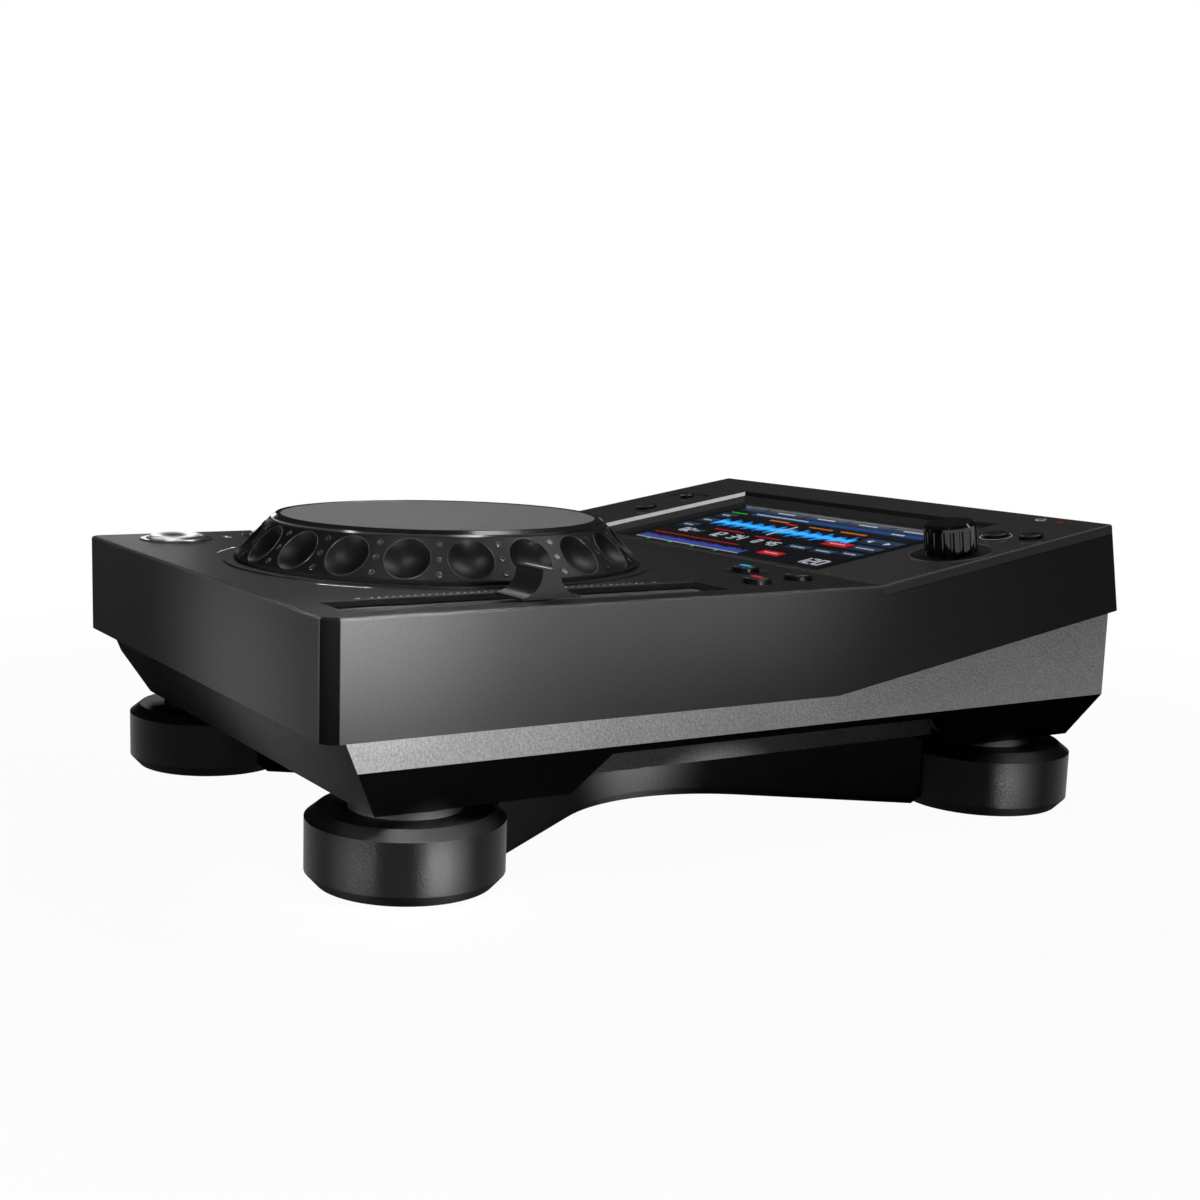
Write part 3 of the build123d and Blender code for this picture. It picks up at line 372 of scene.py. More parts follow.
def pixel_grid_group():
    inputs = [("Color", "NodeSocketColor"), ("Pitch", "NodeSocketFloat")]
    group, given, made = new_group("pixel_grid", inputs, [("Color", "NodeSocketColor")])
    waves = []
    for axis in ("X", "Y"):
        phase = math_node(group, "DIVIDE", object_axis(group, axis), given.outputs["Pitch"])
        waves.append(math_node(group, "PINGPONG", phase, grid_swing))
    grid = math_node(group, "ADD", math_node(group, "MULTIPLY", *waves), grid_ground)
    group.links.new(scaled_color(group, given.outputs["Color"], grid), made.inputs["Color"])
    return group


moulded_grain = moulded_grain_group()
turning_marks = turning_marks_group()
pixel_grid = pixel_grid_group()


# Finishes

grain_relief = 0.35 * mm
turning_relief = 0.02 * mm
pixel_pitch = 0.24 * mm
plain_rough_spread = 0.18
zone_rough_spread = 0.15


def grey(level):
    return level, level, level


def blank_finish(name):
    finish = bpy.data.materials.new(name)
    finish.use_nodes = True
    tree = finish.node_tree
    return finish, tree, tree.nodes["Principled BSDF"]


def place_group(tree, group, **values):
    node = tree.nodes.new("ShaderNodeGroup")
    node.node_tree = group
    for label, value in values.items():
        node.inputs[label.replace("_", " ")].default_value = value
    return node


def place_grain(tree, color, roughness, grain, color_spread, rough_spread):
    return place_group(
        tree,
        moulded_grain,
        Color=(*color, 1),
        Color_Spread=color_spread,
        Roughness=roughness,
        Roughness_Spread=rough_spread,
        Grain_Scale=grain,
    )


def link_grain(tree, shader, grain):
    tree.links.new(grain.outputs["Color"], shader.inputs["Base Color"])
    tree.links.new(grain.outputs["Roughness"], shader.inputs["Roughness"])


def add_bump(tree, shader, height, strength, distance):
    bump = tree.nodes.new("ShaderNodeBump")
    bump.inputs["Strength"].default_value = strength
    bump.inputs["Distance"].default_value = distance
    tree.links.new(height, bump.inputs["Height"])
    tree.links.new(bump.outputs["Normal"], shader.inputs["Normal"])


def grained_finish(
    name, color, roughness, grain=900.0, depth=0.15, specular=0.3, spread=0.25, metallic=0.0
):
    finish, tree, shader = blank_finish(name)
    node = place_grain(tree, color, roughness, grain, spread, plain_rough_spread)
    link_grain(tree, shader, node)
    shader.inputs["Specular IOR Level"].default_value = specular
    shader.inputs["Metallic"].default_value = metallic
    add_bump(tree, shader, node.outputs["Height"], 1.0, depth * grain_relief)
    return finish


def bare_metal(name, color, roughness, grain, depth, spread=0.15):
    return grained_finish(name, color, roughness, grain, depth, 0.5, spread, metallic=1.0)


def printed_finish(name, color):
    return grained_finish(name, color, 0.5, grain=2000.0, depth=0.02, spread=0.1)


zone = namedtuple("zone", ("color", "roughness", "grain"))


def zoned_finish(name, zones, masks, specular, depth, spread=0.3, metal=0.0):
    finish, tree, shader = blank_finish(name)
    made = [place_grain(tree, *each, spread, zone_rough_spread) for each in zones]
    tint, rough, high = [made[0].outputs[label] for label in ("Color", "Roughness", "Height")]
    for mask_of, other in zip(masks, made[1:]):
        mask = mask_of(tree)
        tint = blended(tree, mask, tint, other.outputs["Color"])
        rough = blended_value(tree, mask, rough, other.outputs["Roughness"])
        high = blended_value(tree, mask, high, other.outputs["Height"])
    tree.links.new(tint, shader.inputs["Base Color"])
    tree.links.new(rough, shader.inputs["Roughness"])
    if metal:
        tree.links.new(math_node(tree, "MULTIPLY", mask, metal), shader.inputs["Metallic"])
    shader.inputs["Specular IOR Level"].default_value = specular
    add_bump(tree, shader, high, 1.0, depth * grain_relief)
    return finish


# Masks: each is 1 on its zone of the piece and 0 elsewhere; several zones are painted shade or painted light

# Painted shade: the rounded front corner of the case is painted near black, standing in for its shade and dark
# reflection
def painted_corner_shade_mask(tree):
    outer = math_node(tree, "GREATER_THAN", from_middle(tree), half_width - corner_shade_width)
    front = math_node(tree, "LESS_THAN", object_axis(tree, "Y"), front_y + corner_shade_depth)
    return math_node(tree, "MULTIPLY", outer, front)


# Painted shade: the foot of the jog skirt is painted darker and rougher where the surround's shadow falls
def painted_skirt_shade_mask(tree):
    return math_node(tree, "LESS_THAN", object_axis(tree, "Z"), deck_top + skirt_shade_height)


def bezel_edge_mask(tree):
    depth = vector_node(tree, "DOT_PRODUCT", object_place(tree), wedge_normal).outputs["Value"]
    surface = wedge_normal.dot(Vector((0, fold_y, deck_top)))
    return math_node(tree, "GREATER_THAN", depth, surface - bezel_edge_depth)


# Painted shade: the inside of the tempo slider trench is painted near black, standing in for shade in the recess
def painted_trench_shade_mask(tree):
    offset = math_node(tree, "SUBTRACT", object_axis(tree, "X"), middle("fader_body").x)
    inside = math_node(tree, "LESS_THAN", math_node(tree, "ABSOLUTE", offset), trench_half)
    below = math_node(tree, "LESS_THAN", object_axis(tree, "Z"), deck_top - skin_depth)
    return math_node(tree, "MULTIPLY", inside, below)


# Painted shade: the side lap of the wedge panel is painted darker, standing in for shade on the side away from the
# lamps
def painted_lap_shade_mask(tree):
    return math_node(tree, "GREATER_THAN", from_middle(tree), half_width - lap_depth)


def side_band_mask(tree):
    outer = math_node(tree, "GREATER_THAN", from_middle(tree), lower_side - skin_depth)
    high = math_node(tree, "GREATER_THAN", object_axis(tree, "Z"), band_foot_height)
    return math_node(tree, "MULTIPLY", outer, high)


# Painted light: the recessed pocket face under the case is painted lighter, standing in for light falling on it
def painted_pocket_light_mask(tree):
    inner = math_node(tree, "LESS_THAN", from_middle(tree), lower_side - pocket_depth)
    along = math_node(tree, "ABSOLUTE", object_axis(tree, "Y"))
    within = math_node(tree, "LESS_THAN", along, pocket_half_length)
    return math_node(tree, "MULTIPLY", inner, within)


# Painted light: the front faces of the lower case are painted lighter, standing in for light falling on them
def painted_front_light_mask(tree):
    drop = math_node(tree, "SUBTRACT", lower_fold_height, object_axis(tree, "Z"))
    below = math_node(tree, "MAXIMUM", drop, 0.0)
    limit = math_node(tree, "MULTIPLY_ADD", below, lower_front_slope, front_y + lower_front_setback)
    return math_node(tree, "LESS_THAN", object_axis(tree, "Y"), limit)


# Painted shade: the bottom bevel of each foot is painted near black and rough, standing in for shade under the
# foot
def painted_sole_shade_mask(tree):
    return math_node(tree, "LESS_THAN", object_axis(tree, "Z"), sole_bevel_height)


# Painted shade: the recessed dish round the knob is painted near black, standing in for shade in the recess
def painted_dish_shade_mask(tree):
    spot = wedge_middle("selector_knob")
    marks = place_group(tree, turning_marks, Center=tuple(on_wedge(spot.x, spot.y).translation))
    return math_node(tree, "LESS_THAN", marks.outputs["Radius"], dish_radius)


# Finishes with a build of their own

def jog_plate_finish():
    finish, tree, shader = blank_finish("jog_plate_satin")
    marks = place_group(tree, turning_marks, Center=tuple(jog_axis), Lines_Per_Metre=2600.0)
    disc = place_grain(
        tree, (0.105, 0.106, 0.108), roughness=0.42, grain=700.0, color_spread=0.15, rough_spread=0.1
    )
    rim = place_grain(
        tree, grey(0.006), roughness=0.14, grain=300.0, color_spread=0.1, rough_spread=0.06
    )
    mask = math_node(tree, "GREATER_THAN", marks.outputs["Radius"], disc_radius)
    tint = blended(tree, mask, disc.outputs["Color"], rim.outputs["Color"])
    rough = blended_value(tree, mask, disc.outputs["Roughness"], rim.outputs["Roughness"])
    tree.links.new(tint, shader.inputs["Base Color"])
    tree.links.new(rough, shader.inputs["Roughness"])
    shader.inputs["Specular IOR Level"].default_value = 0.35
    add_bump(tree, shader, marks.outputs["Lines"], strength=0.05, distance=turning_relief)
    return finish


def spun_metal_finish(name, color, roughness):
    finish, tree, shader = blank_finish(name)
    marks = place_group(tree, turning_marks, Center=(0, 0, 0), Lines_Per_Metre=5200.0)
    grain = place_grain(tree, color, roughness, grain=600.0, color_spread=0.2, rough_spread=0.12)
    link_grain(tree, shader, grain)
    shader.inputs["Metallic"].default_value = 1.0
    shader.inputs["Anisotropic"].default_value = 0.92
    tangent = tree.nodes.new("ShaderNodeTangent")
    tangent.direction_type = "RADIAL"
    tangent.axis = "Z"
    tree.links.new(tangent.outputs[0], shader.inputs["Tangent"])
    add_bump(tree, shader, marks.outputs["Lines"], strength=0.06, distance=turning_relief)
    return finish


def lit_finish(name, color, strength):
    finish, tree, shader = blank_finish(name)
    grid = place_group(tree, pixel_grid, Color=(*color, 1), Pitch=pixel_pitch)
    shader.inputs["Base Color"].default_value = (0.004, 0.004, 0.005, 1)
    shader.inputs["Roughness"].default_value = 0.22
    shader.inputs["Specular IOR Level"].default_value = 0.1
    tree.links.new(grid.outputs["Color"], shader.inputs["Emission Color"])
    shader.inputs["Emission Strength"].default_value = strength
    return finish


def board_finish():
    finish, tree, shader = blank_finish("board_solder_mask")
    grain = place_grain(
        tree, (0.015, 0.11, 0.045), roughness=0.35, grain=400.0, color_spread=0.5, rough_spread=0.2
    )
    link_grain(tree, shader, grain)
    return finish


# Finish of each material slot of the record

finishes = {
    "case_black": zoned_finish(
        "case_satin_black",
        [
            zone((0.058, 0.058, 0.059), roughness=0.42, grain=1100.0),
            # painted shade on the rounded front corners
            zone(grey(0.003), roughness=0.2, grain=500.0),
        ],
        [painted_corner_shade_mask],
        specular=0.0,
        depth=0.06,
    ),
    "deck_grey": zoned_finish(
        "deck_satin",
        [
            zone((0.009, 0.009, 0.0092), roughness=0.4, grain=1000.0),
            # painted shade inside the slider trench
            zone(grey(0.002), roughness=0.8, grain=1000.0),
        ],
        [painted_trench_shade_mask],
        specular=0.1,
        depth=0.02,
    ),
    "wedge_black": zoned_finish(
        "wedge_semi_gloss",
        [
            zone(grey(0.033), roughness=0.08, grain=700.0),
            # painted shade in the knob's dish
            zone(grey(0.002), roughness=0.3, grain=700.0),
            # painted shade on the side lap
            zone(grey(0.018), roughness=0.65, grain=1100.0),
        ],
        [painted_dish_shade_mask, painted_lap_shade_mask],
        specular=0.42,
        depth=0.02,
    ),
    "gunmetal": zoned_finish(
        "lower_case_grained",
        [
            zone(grey(0.004), roughness=0.45, grain=1700.0),
            # painted light on the pocket face
            zone(grey(0.06), roughness=0.45, grain=1700.0),
            # painted light on the front faces of the lower case
            zone(grey(0.05), roughness=0.45, grain=1700.0),
            zone((0.36, 0.36, 0.363), roughness=0.5, grain=1300.0),
        ],
        [painted_pocket_light_mask, painted_front_light_mask, side_band_mask],
        specular=0.0,
        depth=0.8,
        spread=1.4,
        metal=0.45,
    ),
    "base_black": grained_finish(
        "plinth_textured", grey(0.026), 0.5, grain=1500.0, depth=0.45, specular=0.0, spread=0.9
    ),
    "foot_black": zoned_finish(
        "foot_textured",
        [
            zone(grey(0.006), roughness=0.38, grain=1500.0),
            # painted shade on the bottom bevel
            zone(grey(0.002), roughness=0.95, grain=1500.0),
        ],
        [painted_sole_shade_mask],
        specular=0.07,
        depth=0.35,
        spread=0.9,
    ),
    "steel": bare_metal("steel_turned", (0.55, 0.55, 0.56), 0.3, grain=600.0, depth=0.05),
    "jog_skirt": zoned_finish(
        "jog_skirt_satin",
        [
            zone(grey(0.003), roughness=0.42, grain=1200.0),
            # painted shade at the foot of the skirt
            zone(grey(0.002), roughness=0.8, grain=1200.0),
        ],
        [painted_skirt_shade_mask],
        specular=0.13,
        depth=0.02,
    ),
    "jog_plate": jog_plate_finish(),
    "trim_gloss": grained_finish(
        "trim_gloss_black", grey(0.005), 0.16, grain=400.0, depth=0.01, specular=0.5
    ),
    "inner_black": grained_finish("inner_moulded", grey(0.010), 0.5, specular=0.1),
    "bearing_brass": bare_metal(
        "bearing_brass", (0.6, 0.42, 0.16), 0.3, grain=600.0, depth=0.05, spread=0.2
    ),
    "slider_black": grained_finish(
        "slider_satin", grey(0.011), 0.3, grain=1200.0, depth=0.04, specular=0.35
    ),
    "board_green": board_finish(),
    "display_glass": grained_finish(
        "display_glass_dark", (0.003, 0.003, 0.004), 0.12, grain=200.0, depth=0.0, specular=0.12
    ),
    "display_module": grained_finish("display_module_frame", grey(0.02), 0.45),
    "socket_metal": bare_metal("socket_plated", grey(0.6), 0.28, grain=500.0, depth=0.04),
    "tray_black": grained_finish("tray_satin", grey(0.014), 0.45, grain=1200.0),
    "key_silver": bare_metal("key_silver_body", grey(0.5), 0.3, grain=700.0, depth=0.03),
    "ring_clear": grained_finish(
        "light_ring_dark", grey(0.02), 0.2, grain=500.0, depth=0.02, specular=0.4
    ),
    "lamp": lit_finish("standby_lamp_glow", (0.5, 0.06, 0.02), strength=0.3),
    "key_black": grained_finish("key_satin", grey(0.006), 0.34, depth=0.03, specular=0.22),
    "flap_black": grained_finish(
        "flap_satin", grey(0.010), 0.3, grain=1000.0, depth=0.05, specular=0.35
    ),
}

# Finishes of single pieces
spun_silver = spun_metal_finish("spun_silver", (0.62, 0.62, 0.63), 0.36)
spun_black = spun_metal_finish("spun_black", (0.05, 0.05, 0.052), 0.26)
print_white = printed_finish("print_white", grey(0.72))
print_grey = printed_finish("print_grey", (0.35, 0.35, 0.36))
# Painted highlight: rims round the dimples, the USB stop key and the knob's dish are lighter than the black round
# them, standing in for light caught on their edges
rim_highlight_satin = grained_finish("dimple_rim_painted_highlight", grey(0.022), 0.4, grain=1000.0, depth=0.02)
pip_gloss = grained_finish("pip_gloss", grey(0.004), 0.3, grain=500.0, depth=0.0, specular=0.5)
knob_gloss = grained_finish(
    "knob_gloss_black", grey(0.003), 0.1, grain=400.0, depth=0.01, specular=0.6
)
window_cyan = lit_finish("window_cyan", (0.02, 0.55, 0.85), strength=0.9)
window_red = lit_finish("window_red", (0.8, 0.02, 0.02), strength=0.9)
bezel_gloss = zoned_finish(
    "bezel_gloss_edge",
    [
        zone(grey(0.004), roughness=0.75, grain=700.0),
        zone(grey(0.006), roughness=0.2, grain=400.0),
    ],
    [bezel_edge_mask],
    specular=0.4,
    depth=0.01,
)
node_finishes = {
    "display_bezel": bezel_gloss,
    "jog_surround": finishes["deck_grey"],
    "selector_knob": knob_gloss,
}


def paint_nodes():
    slots = {entry["node"]: entry["material_slot"] for entry in frame["record"]["subparts"]}
    for name, node in nodes.items():
        node.data.materials.clear()
        node.data.materials.append(node_finishes.get(name, finishes[slots[name]]))


# Jog wheel: rims of the finger dimples, lighter as a painted highlight, and the pips between them

dimple_count = 20
dimple_radius = 7.7 * mm
dimple_depth = 2.8 * mm
skirt_low = (68.8 * mm, deck_top + 1.5 * mm)
skirt_high = (57.4 * mm, deck_top + 13.8 * mm)
skirt_run = skirt_low[0] - skirt_high[0]
skirt_rise = skirt_high[1] - skirt_low[1]
skirt_slant = math.hypot(skirt_run, skirt_rise)
skirt_pitch = 2 * math.pi / dimple_count
rim_radius = 0.14 * mm
edge_steps = 40
edge_halvings = 24
edge_reach = 1.6 * dimple_radius
pip_shares = (0.16, 0.5, 0.84)
pip_profile = [(0, -0.3), (1.05, -0.3), (1.05, 0.1), (0.9, 0.22), (0.7, 0.22), (0.55, 0.06), (0, 0.0)]


def skirt_point(share, angle, lift=0.0):
    radius = skirt_low[0] - share * skirt_run + lift * skirt_rise / skirt_slant
    height = skirt_low[1] + share * skirt_rise + lift * skirt_run / skirt_slant
    x, y = ring_spot(radius, angle)
    return Vector((jog_axis.x + x, jog_axis.y + y, height))


def dimple_edge(angle):
    ball = (dimple_radius ** 2 + dimple_depth ** 2) / (2 * dimple_depth)
    center = skirt_point(0.5, angle, ball - dimple_depth)
    ring_radius = (skirt_low[0] + skirt_high[0]) / 2
    edge = []
    for step in range(edge_steps):
        turn = 2 * math.pi * step / edge_steps
        near, far = 0.0, edge_reach
        for _ in range(edge_halvings):
            reach = (near + far) / 2
            share = 0.5 + reach * math.sin(turn) / skirt_slant
            point = skirt_point(share, angle + reach * math.cos(turn) / ring_radius)
            near, far = (reach, far) if (point - center).length < ball else (near, reach)
        edge.append(point)
    return edge


def add_jog_trim():
    rims, pips = [], []
    for index in range(dimple_count):
        angle = index * skirt_pitch
        between = angle + skirt_pitch / 2
        rims.append(tube(dimple_edge(angle), rim_radius))
        for share in pip_shares:
            spot = skirt_point(share, between)
            out = skirt_point(share, between, 1.0) - spot
            place = Matrix.Translation(spot) @ out.to_track_quat("Z", "Y").to_matrix().to_4x4()
            pips.append(moved(turned(in_mm(pip_profile), dot_steps), place))
    add_piece("jog_dimple_rims", joined(rims), rim_highlight_satin, "jog")
    add_piece("jog_pips", joined(pips), pip_gloss, "jog")


# Tempo slider: scale, signs and the index line of the cap

scale_x = 76.5 * mm
scale_half = 47.0 * mm
scale_dots = 41
dot_radius = 0.34 * mm
middle_dot_radius = 0.55 * mm
sign_gap = 4.5 * mm
sign_size = 1.7 * mm
sign_stroke = 0.4 * mm
index_inset = 0.3 * mm
index_half = 0.45 * mm


def add_tempo_scale(center_y):
    dots = []
    for index in range(scale_dots):
        offset = (2 * index / (scale_dots - 1) - 1) * scale_half
        radius = middle_dot_radius if index * 2 == scale_dots - 1 else dot_radius
        dot = turned([(0, 0), (radius, 0), (radius, print_height), (0, print_height)], dot_steps)
        dots.append(moved(dot, on_deck(scale_x, center_y + offset)))
    add_piece("tempo_scale", joined(dots), print_white, "chassis")


def add_tempo_signs(center_y):
    reach = scale_half + sign_gap
    minus_place = on_deck(scale_x, center_y + reach)
    plus_place = on_deck(scale_x, center_y - reach)
    across = printed_bar(sign_size, sign_stroke)
    upright = printed_bar(sign_stroke, sign_size)
    bars = [moved(across, plus_place), moved(upright, plus_place), moved(across, minus_place)]
    add_piece("tempo_signs", joined(bars), print_white, "chassis")


def add_tempo_trim():
    center_y = middle("tempo_cap").y
    add_tempo_scale(center_y)
    add_tempo_signs(center_y)
    low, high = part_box("tempo_cap")
    line_low = (low.x + index_inset, center_y - index_half, high.z)
    line_high = (high.x - index_inset, center_y + index_half, high.z + print_height)
    add_piece("tempo_index_line", plate(line_low, line_high), print_white, "tempo")


# Deck: turning marks beside the jog wheel and the sign between the play and cue keys

jog_mark_radius = 76.6 * mm
jog_mark_width = 0.5 * mm
jog_mark_from = math.radians(34)
jog_mark_to = math.radians(46)
arrow_length = math.radians(1.8)
arrow_half = 0.9 * mm
key_sign_size = 2.4 * mm
key_sign_bar = 0.7 * mm


def add_jog_marks():
    marks = []
    ahead = -math.pi / 2
    for side in (-1, 1):
        ends = sorted((ahead + side * jog_mark_from, ahead + side * jog_mark_to))
        marks.append(prism(arc_outline(jog_mark_radius, jog_mark_width, *ends), 0, print_height))
        turn = ahead + side * jog_mark_to
        head = [
            ring_spot(jog_mark_radius - side * arrow_half, turn),
            ring_spot(jog_mark_radius + side * arrow_half, turn),
            ring_spot(jog_mark_radius, turn + side * arrow_length),
        ]
        marks.append(prism(head, 0, print_height))
    shape = moved(joined(marks), on_deck(jog_axis.x, jog_axis.y))
    add_piece("jog_turn_marks", shape, print_white, "chassis")


def add_key_sign():
    spot = (middle("play_button") + middle("cue_button")) / 2
    size, bar = key_sign_size, key_sign_bar
    marks = [prism([(-size, -size / 2), (0, 0), (-size, size / 2)], 0, print_height)]
    for left in (0.5 * bar, 2.0 * bar):
        marks.append(plate((left, -size / 2, 0), (left + bar, size / 2, print_height)))
    shape = moved(joined(marks), on_deck(spot.x, spot.y))
    add_piece("play_sign", shape, print_white, "chassis")


# Play and cue keys: dished spun faces

key_face_profile = [
    (0, 0.05),
    (2.5, 0.08),
    (5.0, 0.2),
    (7.2, 0.45),
    (8.8, 0.8),
    (9.6, 1.0),
    (9.9, 0.85),
    (9.9, -0.4),
    (0, -0.4),
]


def key_top(node):
    spot = middle(node)
    return Matrix.Translation((spot.x, spot.y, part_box(node)[1].z))


def add_main_keys():
    for name in ("play", "cue"):
        face = turned(in_mm(key_face_profile))
        add_piece(f"{name}_face", face, spun_silver, name, key_top(f"{name}_button"))


# Small keys: lit windows and the raised ring of the jog mode key

window_half_width = 2.3 * mm
window_half_length = 0.9 * mm
window_sink = 0.3 * mm
window_lift = 0.1 * mm
mode_ring_profile = [(5.1, 0), (7.4, 0), (7.4, 0.12), (7.0, 0.25), (5.6, 0.25), (5.1, 0.1)]


def add_key_windows():
    pane_low = (-window_half_width, -window_half_length, -window_sink)
    pane_high = (window_half_width, window_half_length, window_lift)
    for name, finish in (("jog_mode", window_cyan), ("master_tempo", window_red)):
        pane = moved(plate(pane_low, pane_high), key_top(f"{name}_button"))
        add_piece(f"{name}_window", pane, finish, name)
    spot = middle("jog_mode_button")
    ring = moved(turned(in_mm(mode_ring_profile), ring_steps), on_deck(spot.x, spot.y))
    add_piece("jog_mode_ring", ring, finishes["trim_gloss"], "chassis")


# Wedge: rings round its keys and the knob's dish, standby sign, knob cap

key_ring_profile = [(5.2, -0.2), (5.55, -0.2), (5.55, 0.08), (5.47, 0.14), (5.28, 0.14), (5.2, 0.08)]
dish_rim_profile = [(13.5, -0.3), (14.1, -0.3), (14.1, 0.06), (13.95, 0.16), (13.65, 0.16), (13.5, 0.06)]
knob_cap_profile = [(0, -0.55), (7.2, -0.12), (7.3, -0.6), (0, -0.9)]
knob_cap_lift = 0.12 * mm
standby_gap = 9.0 * mm
standby_radius = 1.7 * mm
standby_stroke = 0.4 * mm
standby_from = math.radians(125)
standby_to = math.radians(415)
standby_bar_low = 0.6 * mm
standby_bar_high = 2.3 * mm


def add_wedge_ring(name, node, profile, steps, finish):
    spot = wedge_middle(node)
    ring = moved(turned(in_mm(profile), steps), on_wedge(spot.x, spot.y))
    add_piece(name, ring, finish, "chassis")


def add_standby_sign():
    lamp = wedge_middle("standby_lamp")
    arc = arc_outline(standby_radius, standby_stroke, standby_from, standby_to)
    bar_low = (-standby_stroke / 2, standby_bar_low, 0)
    bar_high = (standby_stroke / 2, standby_bar_high, print_height)
    sign = joined([prism(arc, 0, print_height), plate(bar_low, bar_high)])
    place = on_wedge(lamp.x - standby_gap, lamp.y)
    add_piece("standby_sign", moved(sign, place), print_white, "chassis")


def add_knob_cap():
    spot = wedge_middle("selector_knob")
    knob_top = wedge_box("selector_knob")[1].z
    place = on_wedge(spot.x, spot.y, knob_top + knob_cap_lift)
    cap = turned(in_mm(knob_cap_profile))
    add_piece("knob_cap", cap, spun_black, "selector_dial", place)


def add_wedge_trim():
    add_wedge_ring("back_ring", "back_button", key_ring_profile, ring_steps, print_grey)
    # these two rings carry the painted rim highlight
    add_wedge_ring("usb_stop_ring", "usb_stop_button", key_ring_profile, ring_steps, rim_highlight_satin)
    add_wedge_ring("knob_dish_rim", "selector_knob", dish_rim_profile, round_steps, rim_highlight_satin)
    add_standby_sign()
    add_knob_cap()


# Display picture: generic tiles, bars and numbers, placed by shares of the lit area.
# A bar is (left, low, right, high), a row of words (left, right, low, height),
# and a number (text, left, low, height).

lit_low = Vector((-56.0, 12.0)) * mm
lit_high = Vector((58.0, 76.0)) * mm
lit_size = lit_high - lit_low
picture_aspect = lit_size.x / lit_size.y
picture_lift = 0.05 * mm
digit_width_share = 0.5
digit_pitch_share = 1.6
stroke_share = 0.16
word_length_shares = (0.006, 0.02)
word_gap_share = 0.005
beat_length = 13
beat_decay = 0.75
wave_swing_shares = (0.55, 1.0)
wave_bar_share = 0.8
overview_swing_shares = (0.6, 1.0)
overview_bar_share = 0.9
tab_label_inset = 0.06
tab_label_length = 0.09
tab_label_low = 0.935
tab_label_height = 0.016
tile_label_inset = 0.02
tile_label_height = 0.012

tab_start_shares = [0.14 + 0.215 * index for index in range(4)]
tab_shares = [(start, 0.9, start + 0.205, 0.99) for start in tab_start_shares]
tab_shares += [(0.0, 0.9, 0.115, 0.99)]
side_tile_shares = [(0.0, 0.69 - 0.15 * index, 0.085, 0.79 - 0.15 * index) for index in range(3)]
arrow_tile_shares = [(0.825, 0.6, 0.995, 0.71)]
low_tile_shares = [
    (0.87, 0.46, 0.995, 0.56),
    (0.66, 0.31, 0.765, 0.385),
    (0.785, 0.31, 0.89, 0.385),
    (0.9, 0.34, 0.995, 0.41),
    (0.13, 0.31, 0.2, 0.37),
]
title_bar_shares = [(0.12, 0.825, 0.995, 0.885)]
playhead_shares = [(0.455, 0.48, 0.458, 0.72)]
overview_line_shares = [(0.02, 0.06, 0.6, 0.07)]
red_block_shares = [(0.385, 0.735, 0.435, 0.755), (0.74, 0.475, 0.855, 0.555), (0.65, 0.13, 0.755, 0.2)]
green_shares = [(0.1 + 0.13 * index, 0.035, 0.112 + 0.13 * index, 0.055) for index in range(4)]
green_shares += [(0.01, 0.825, 0.1, 0.833)]
amber_word_shares = [(0.27, 0.37, 0.765, 0.022), (0.5, 0.62, 0.745, 0.016), (0.66, 0.78, 0.745, 0.022)]
red_word_shares = [(0.2, 0.36, 0.435, 0.012), (0.44, 0.57, 0.415, 0.012), (0.02, 0.5, 0.205, 0.008)]
label_word_shares = [
    (0.14, 0.42, 0.848, 0.014),
    (0.84, 0.9, 0.848, 0.018),
    (0.76, 0.835, 0.51, 0.012),
    (0.67, 0.735, 0.16, 0.012),
]
number_shares = [
    ("12 34", 0.25, 0.3, 0.085),
    ("0 45", 0.5, 0.3, 0.07),
    ("02", 0.09, 0.3, 0.07),
    ("120", 0.86, 0.1, 0.095),
]
segment_ends = {
    "top": (0, 1, 1, 1),
    "high_left": (0, 0.5, 0, 1),
    "high_right": (1, 0.5, 1, 1),
    "middle": (0, 0.5, 1, 0.5),
    "low_left": (0, 0, 0, 0.5),
    "low_right": (1, 0, 1, 0.5),
    "bottom": (0, 0, 1, 0),
}
digit_segments = {
    "0": ("top", "high_left", "high_right", "low_left", "low_right", "bottom"),
    "1": ("high_right", "low_right"),
    "2": ("top", "high_right", "middle", "low_left", "bottom"),
    "3": ("top", "high_right", "middle", "low_right", "bottom"),
    "4": ("high_left", "high_right", "middle", "low_right"),
    "5": ("top", "high_left", "middle", "low_right", "bottom"),
}


def number(text, left, low, height):
    width = digit_width_share * height / picture_aspect
    across = stroke_share * width
    bars = []
    for index, digit in enumerate(text):
        start = left + index * width * digit_pitch_share
        for segment in digit_segments.get(digit, ()):
            u0, v0, u1, v1 = segment_ends[segment]
            bars.append((
                start + u0 * width - across / 2,
                low + v0 * height - across * picture_aspect / 2,
                start + u1 * width + across / 2,
                low + v1 * height + across * picture_aspect / 2,
            ))
    return bars


def word_marks(left, right, low, height):
    marks = []
    place = left
    while place < right:
        length = draw.uniform(*word_length_shares)
        marks.append((place, low, min(place + length, right), low + height))
        place += length + word_gap_share
    return marks


def word_rows(rows):
    marks = []
    for row in rows:
        marks += word_marks(*row)
    return marks


def waveform(left, right, middle_height, swing, count):
    bars = []
    step = (right - left) / count
    for index in range(count):
        decay = 1 - beat_decay * (index % beat_length) / beat_length
        reach = swing * decay * draw.uniform(*wave_swing_shares)
        start = left + index * step
        end = start + step * wave_bar_share
        bars.append((start, middle_height - reach, end, middle_height + reach))
    return bars


def overview(left, right, low, swing, count):
    step = (right - left) / count
    bars = []
    for index in range(count):
        height = swing * draw.uniform(*overview_swing_shares)
        end = left + (index + overview_bar_share) * step
        bars.append((left + index * step, low, end, low + height))
    return bars


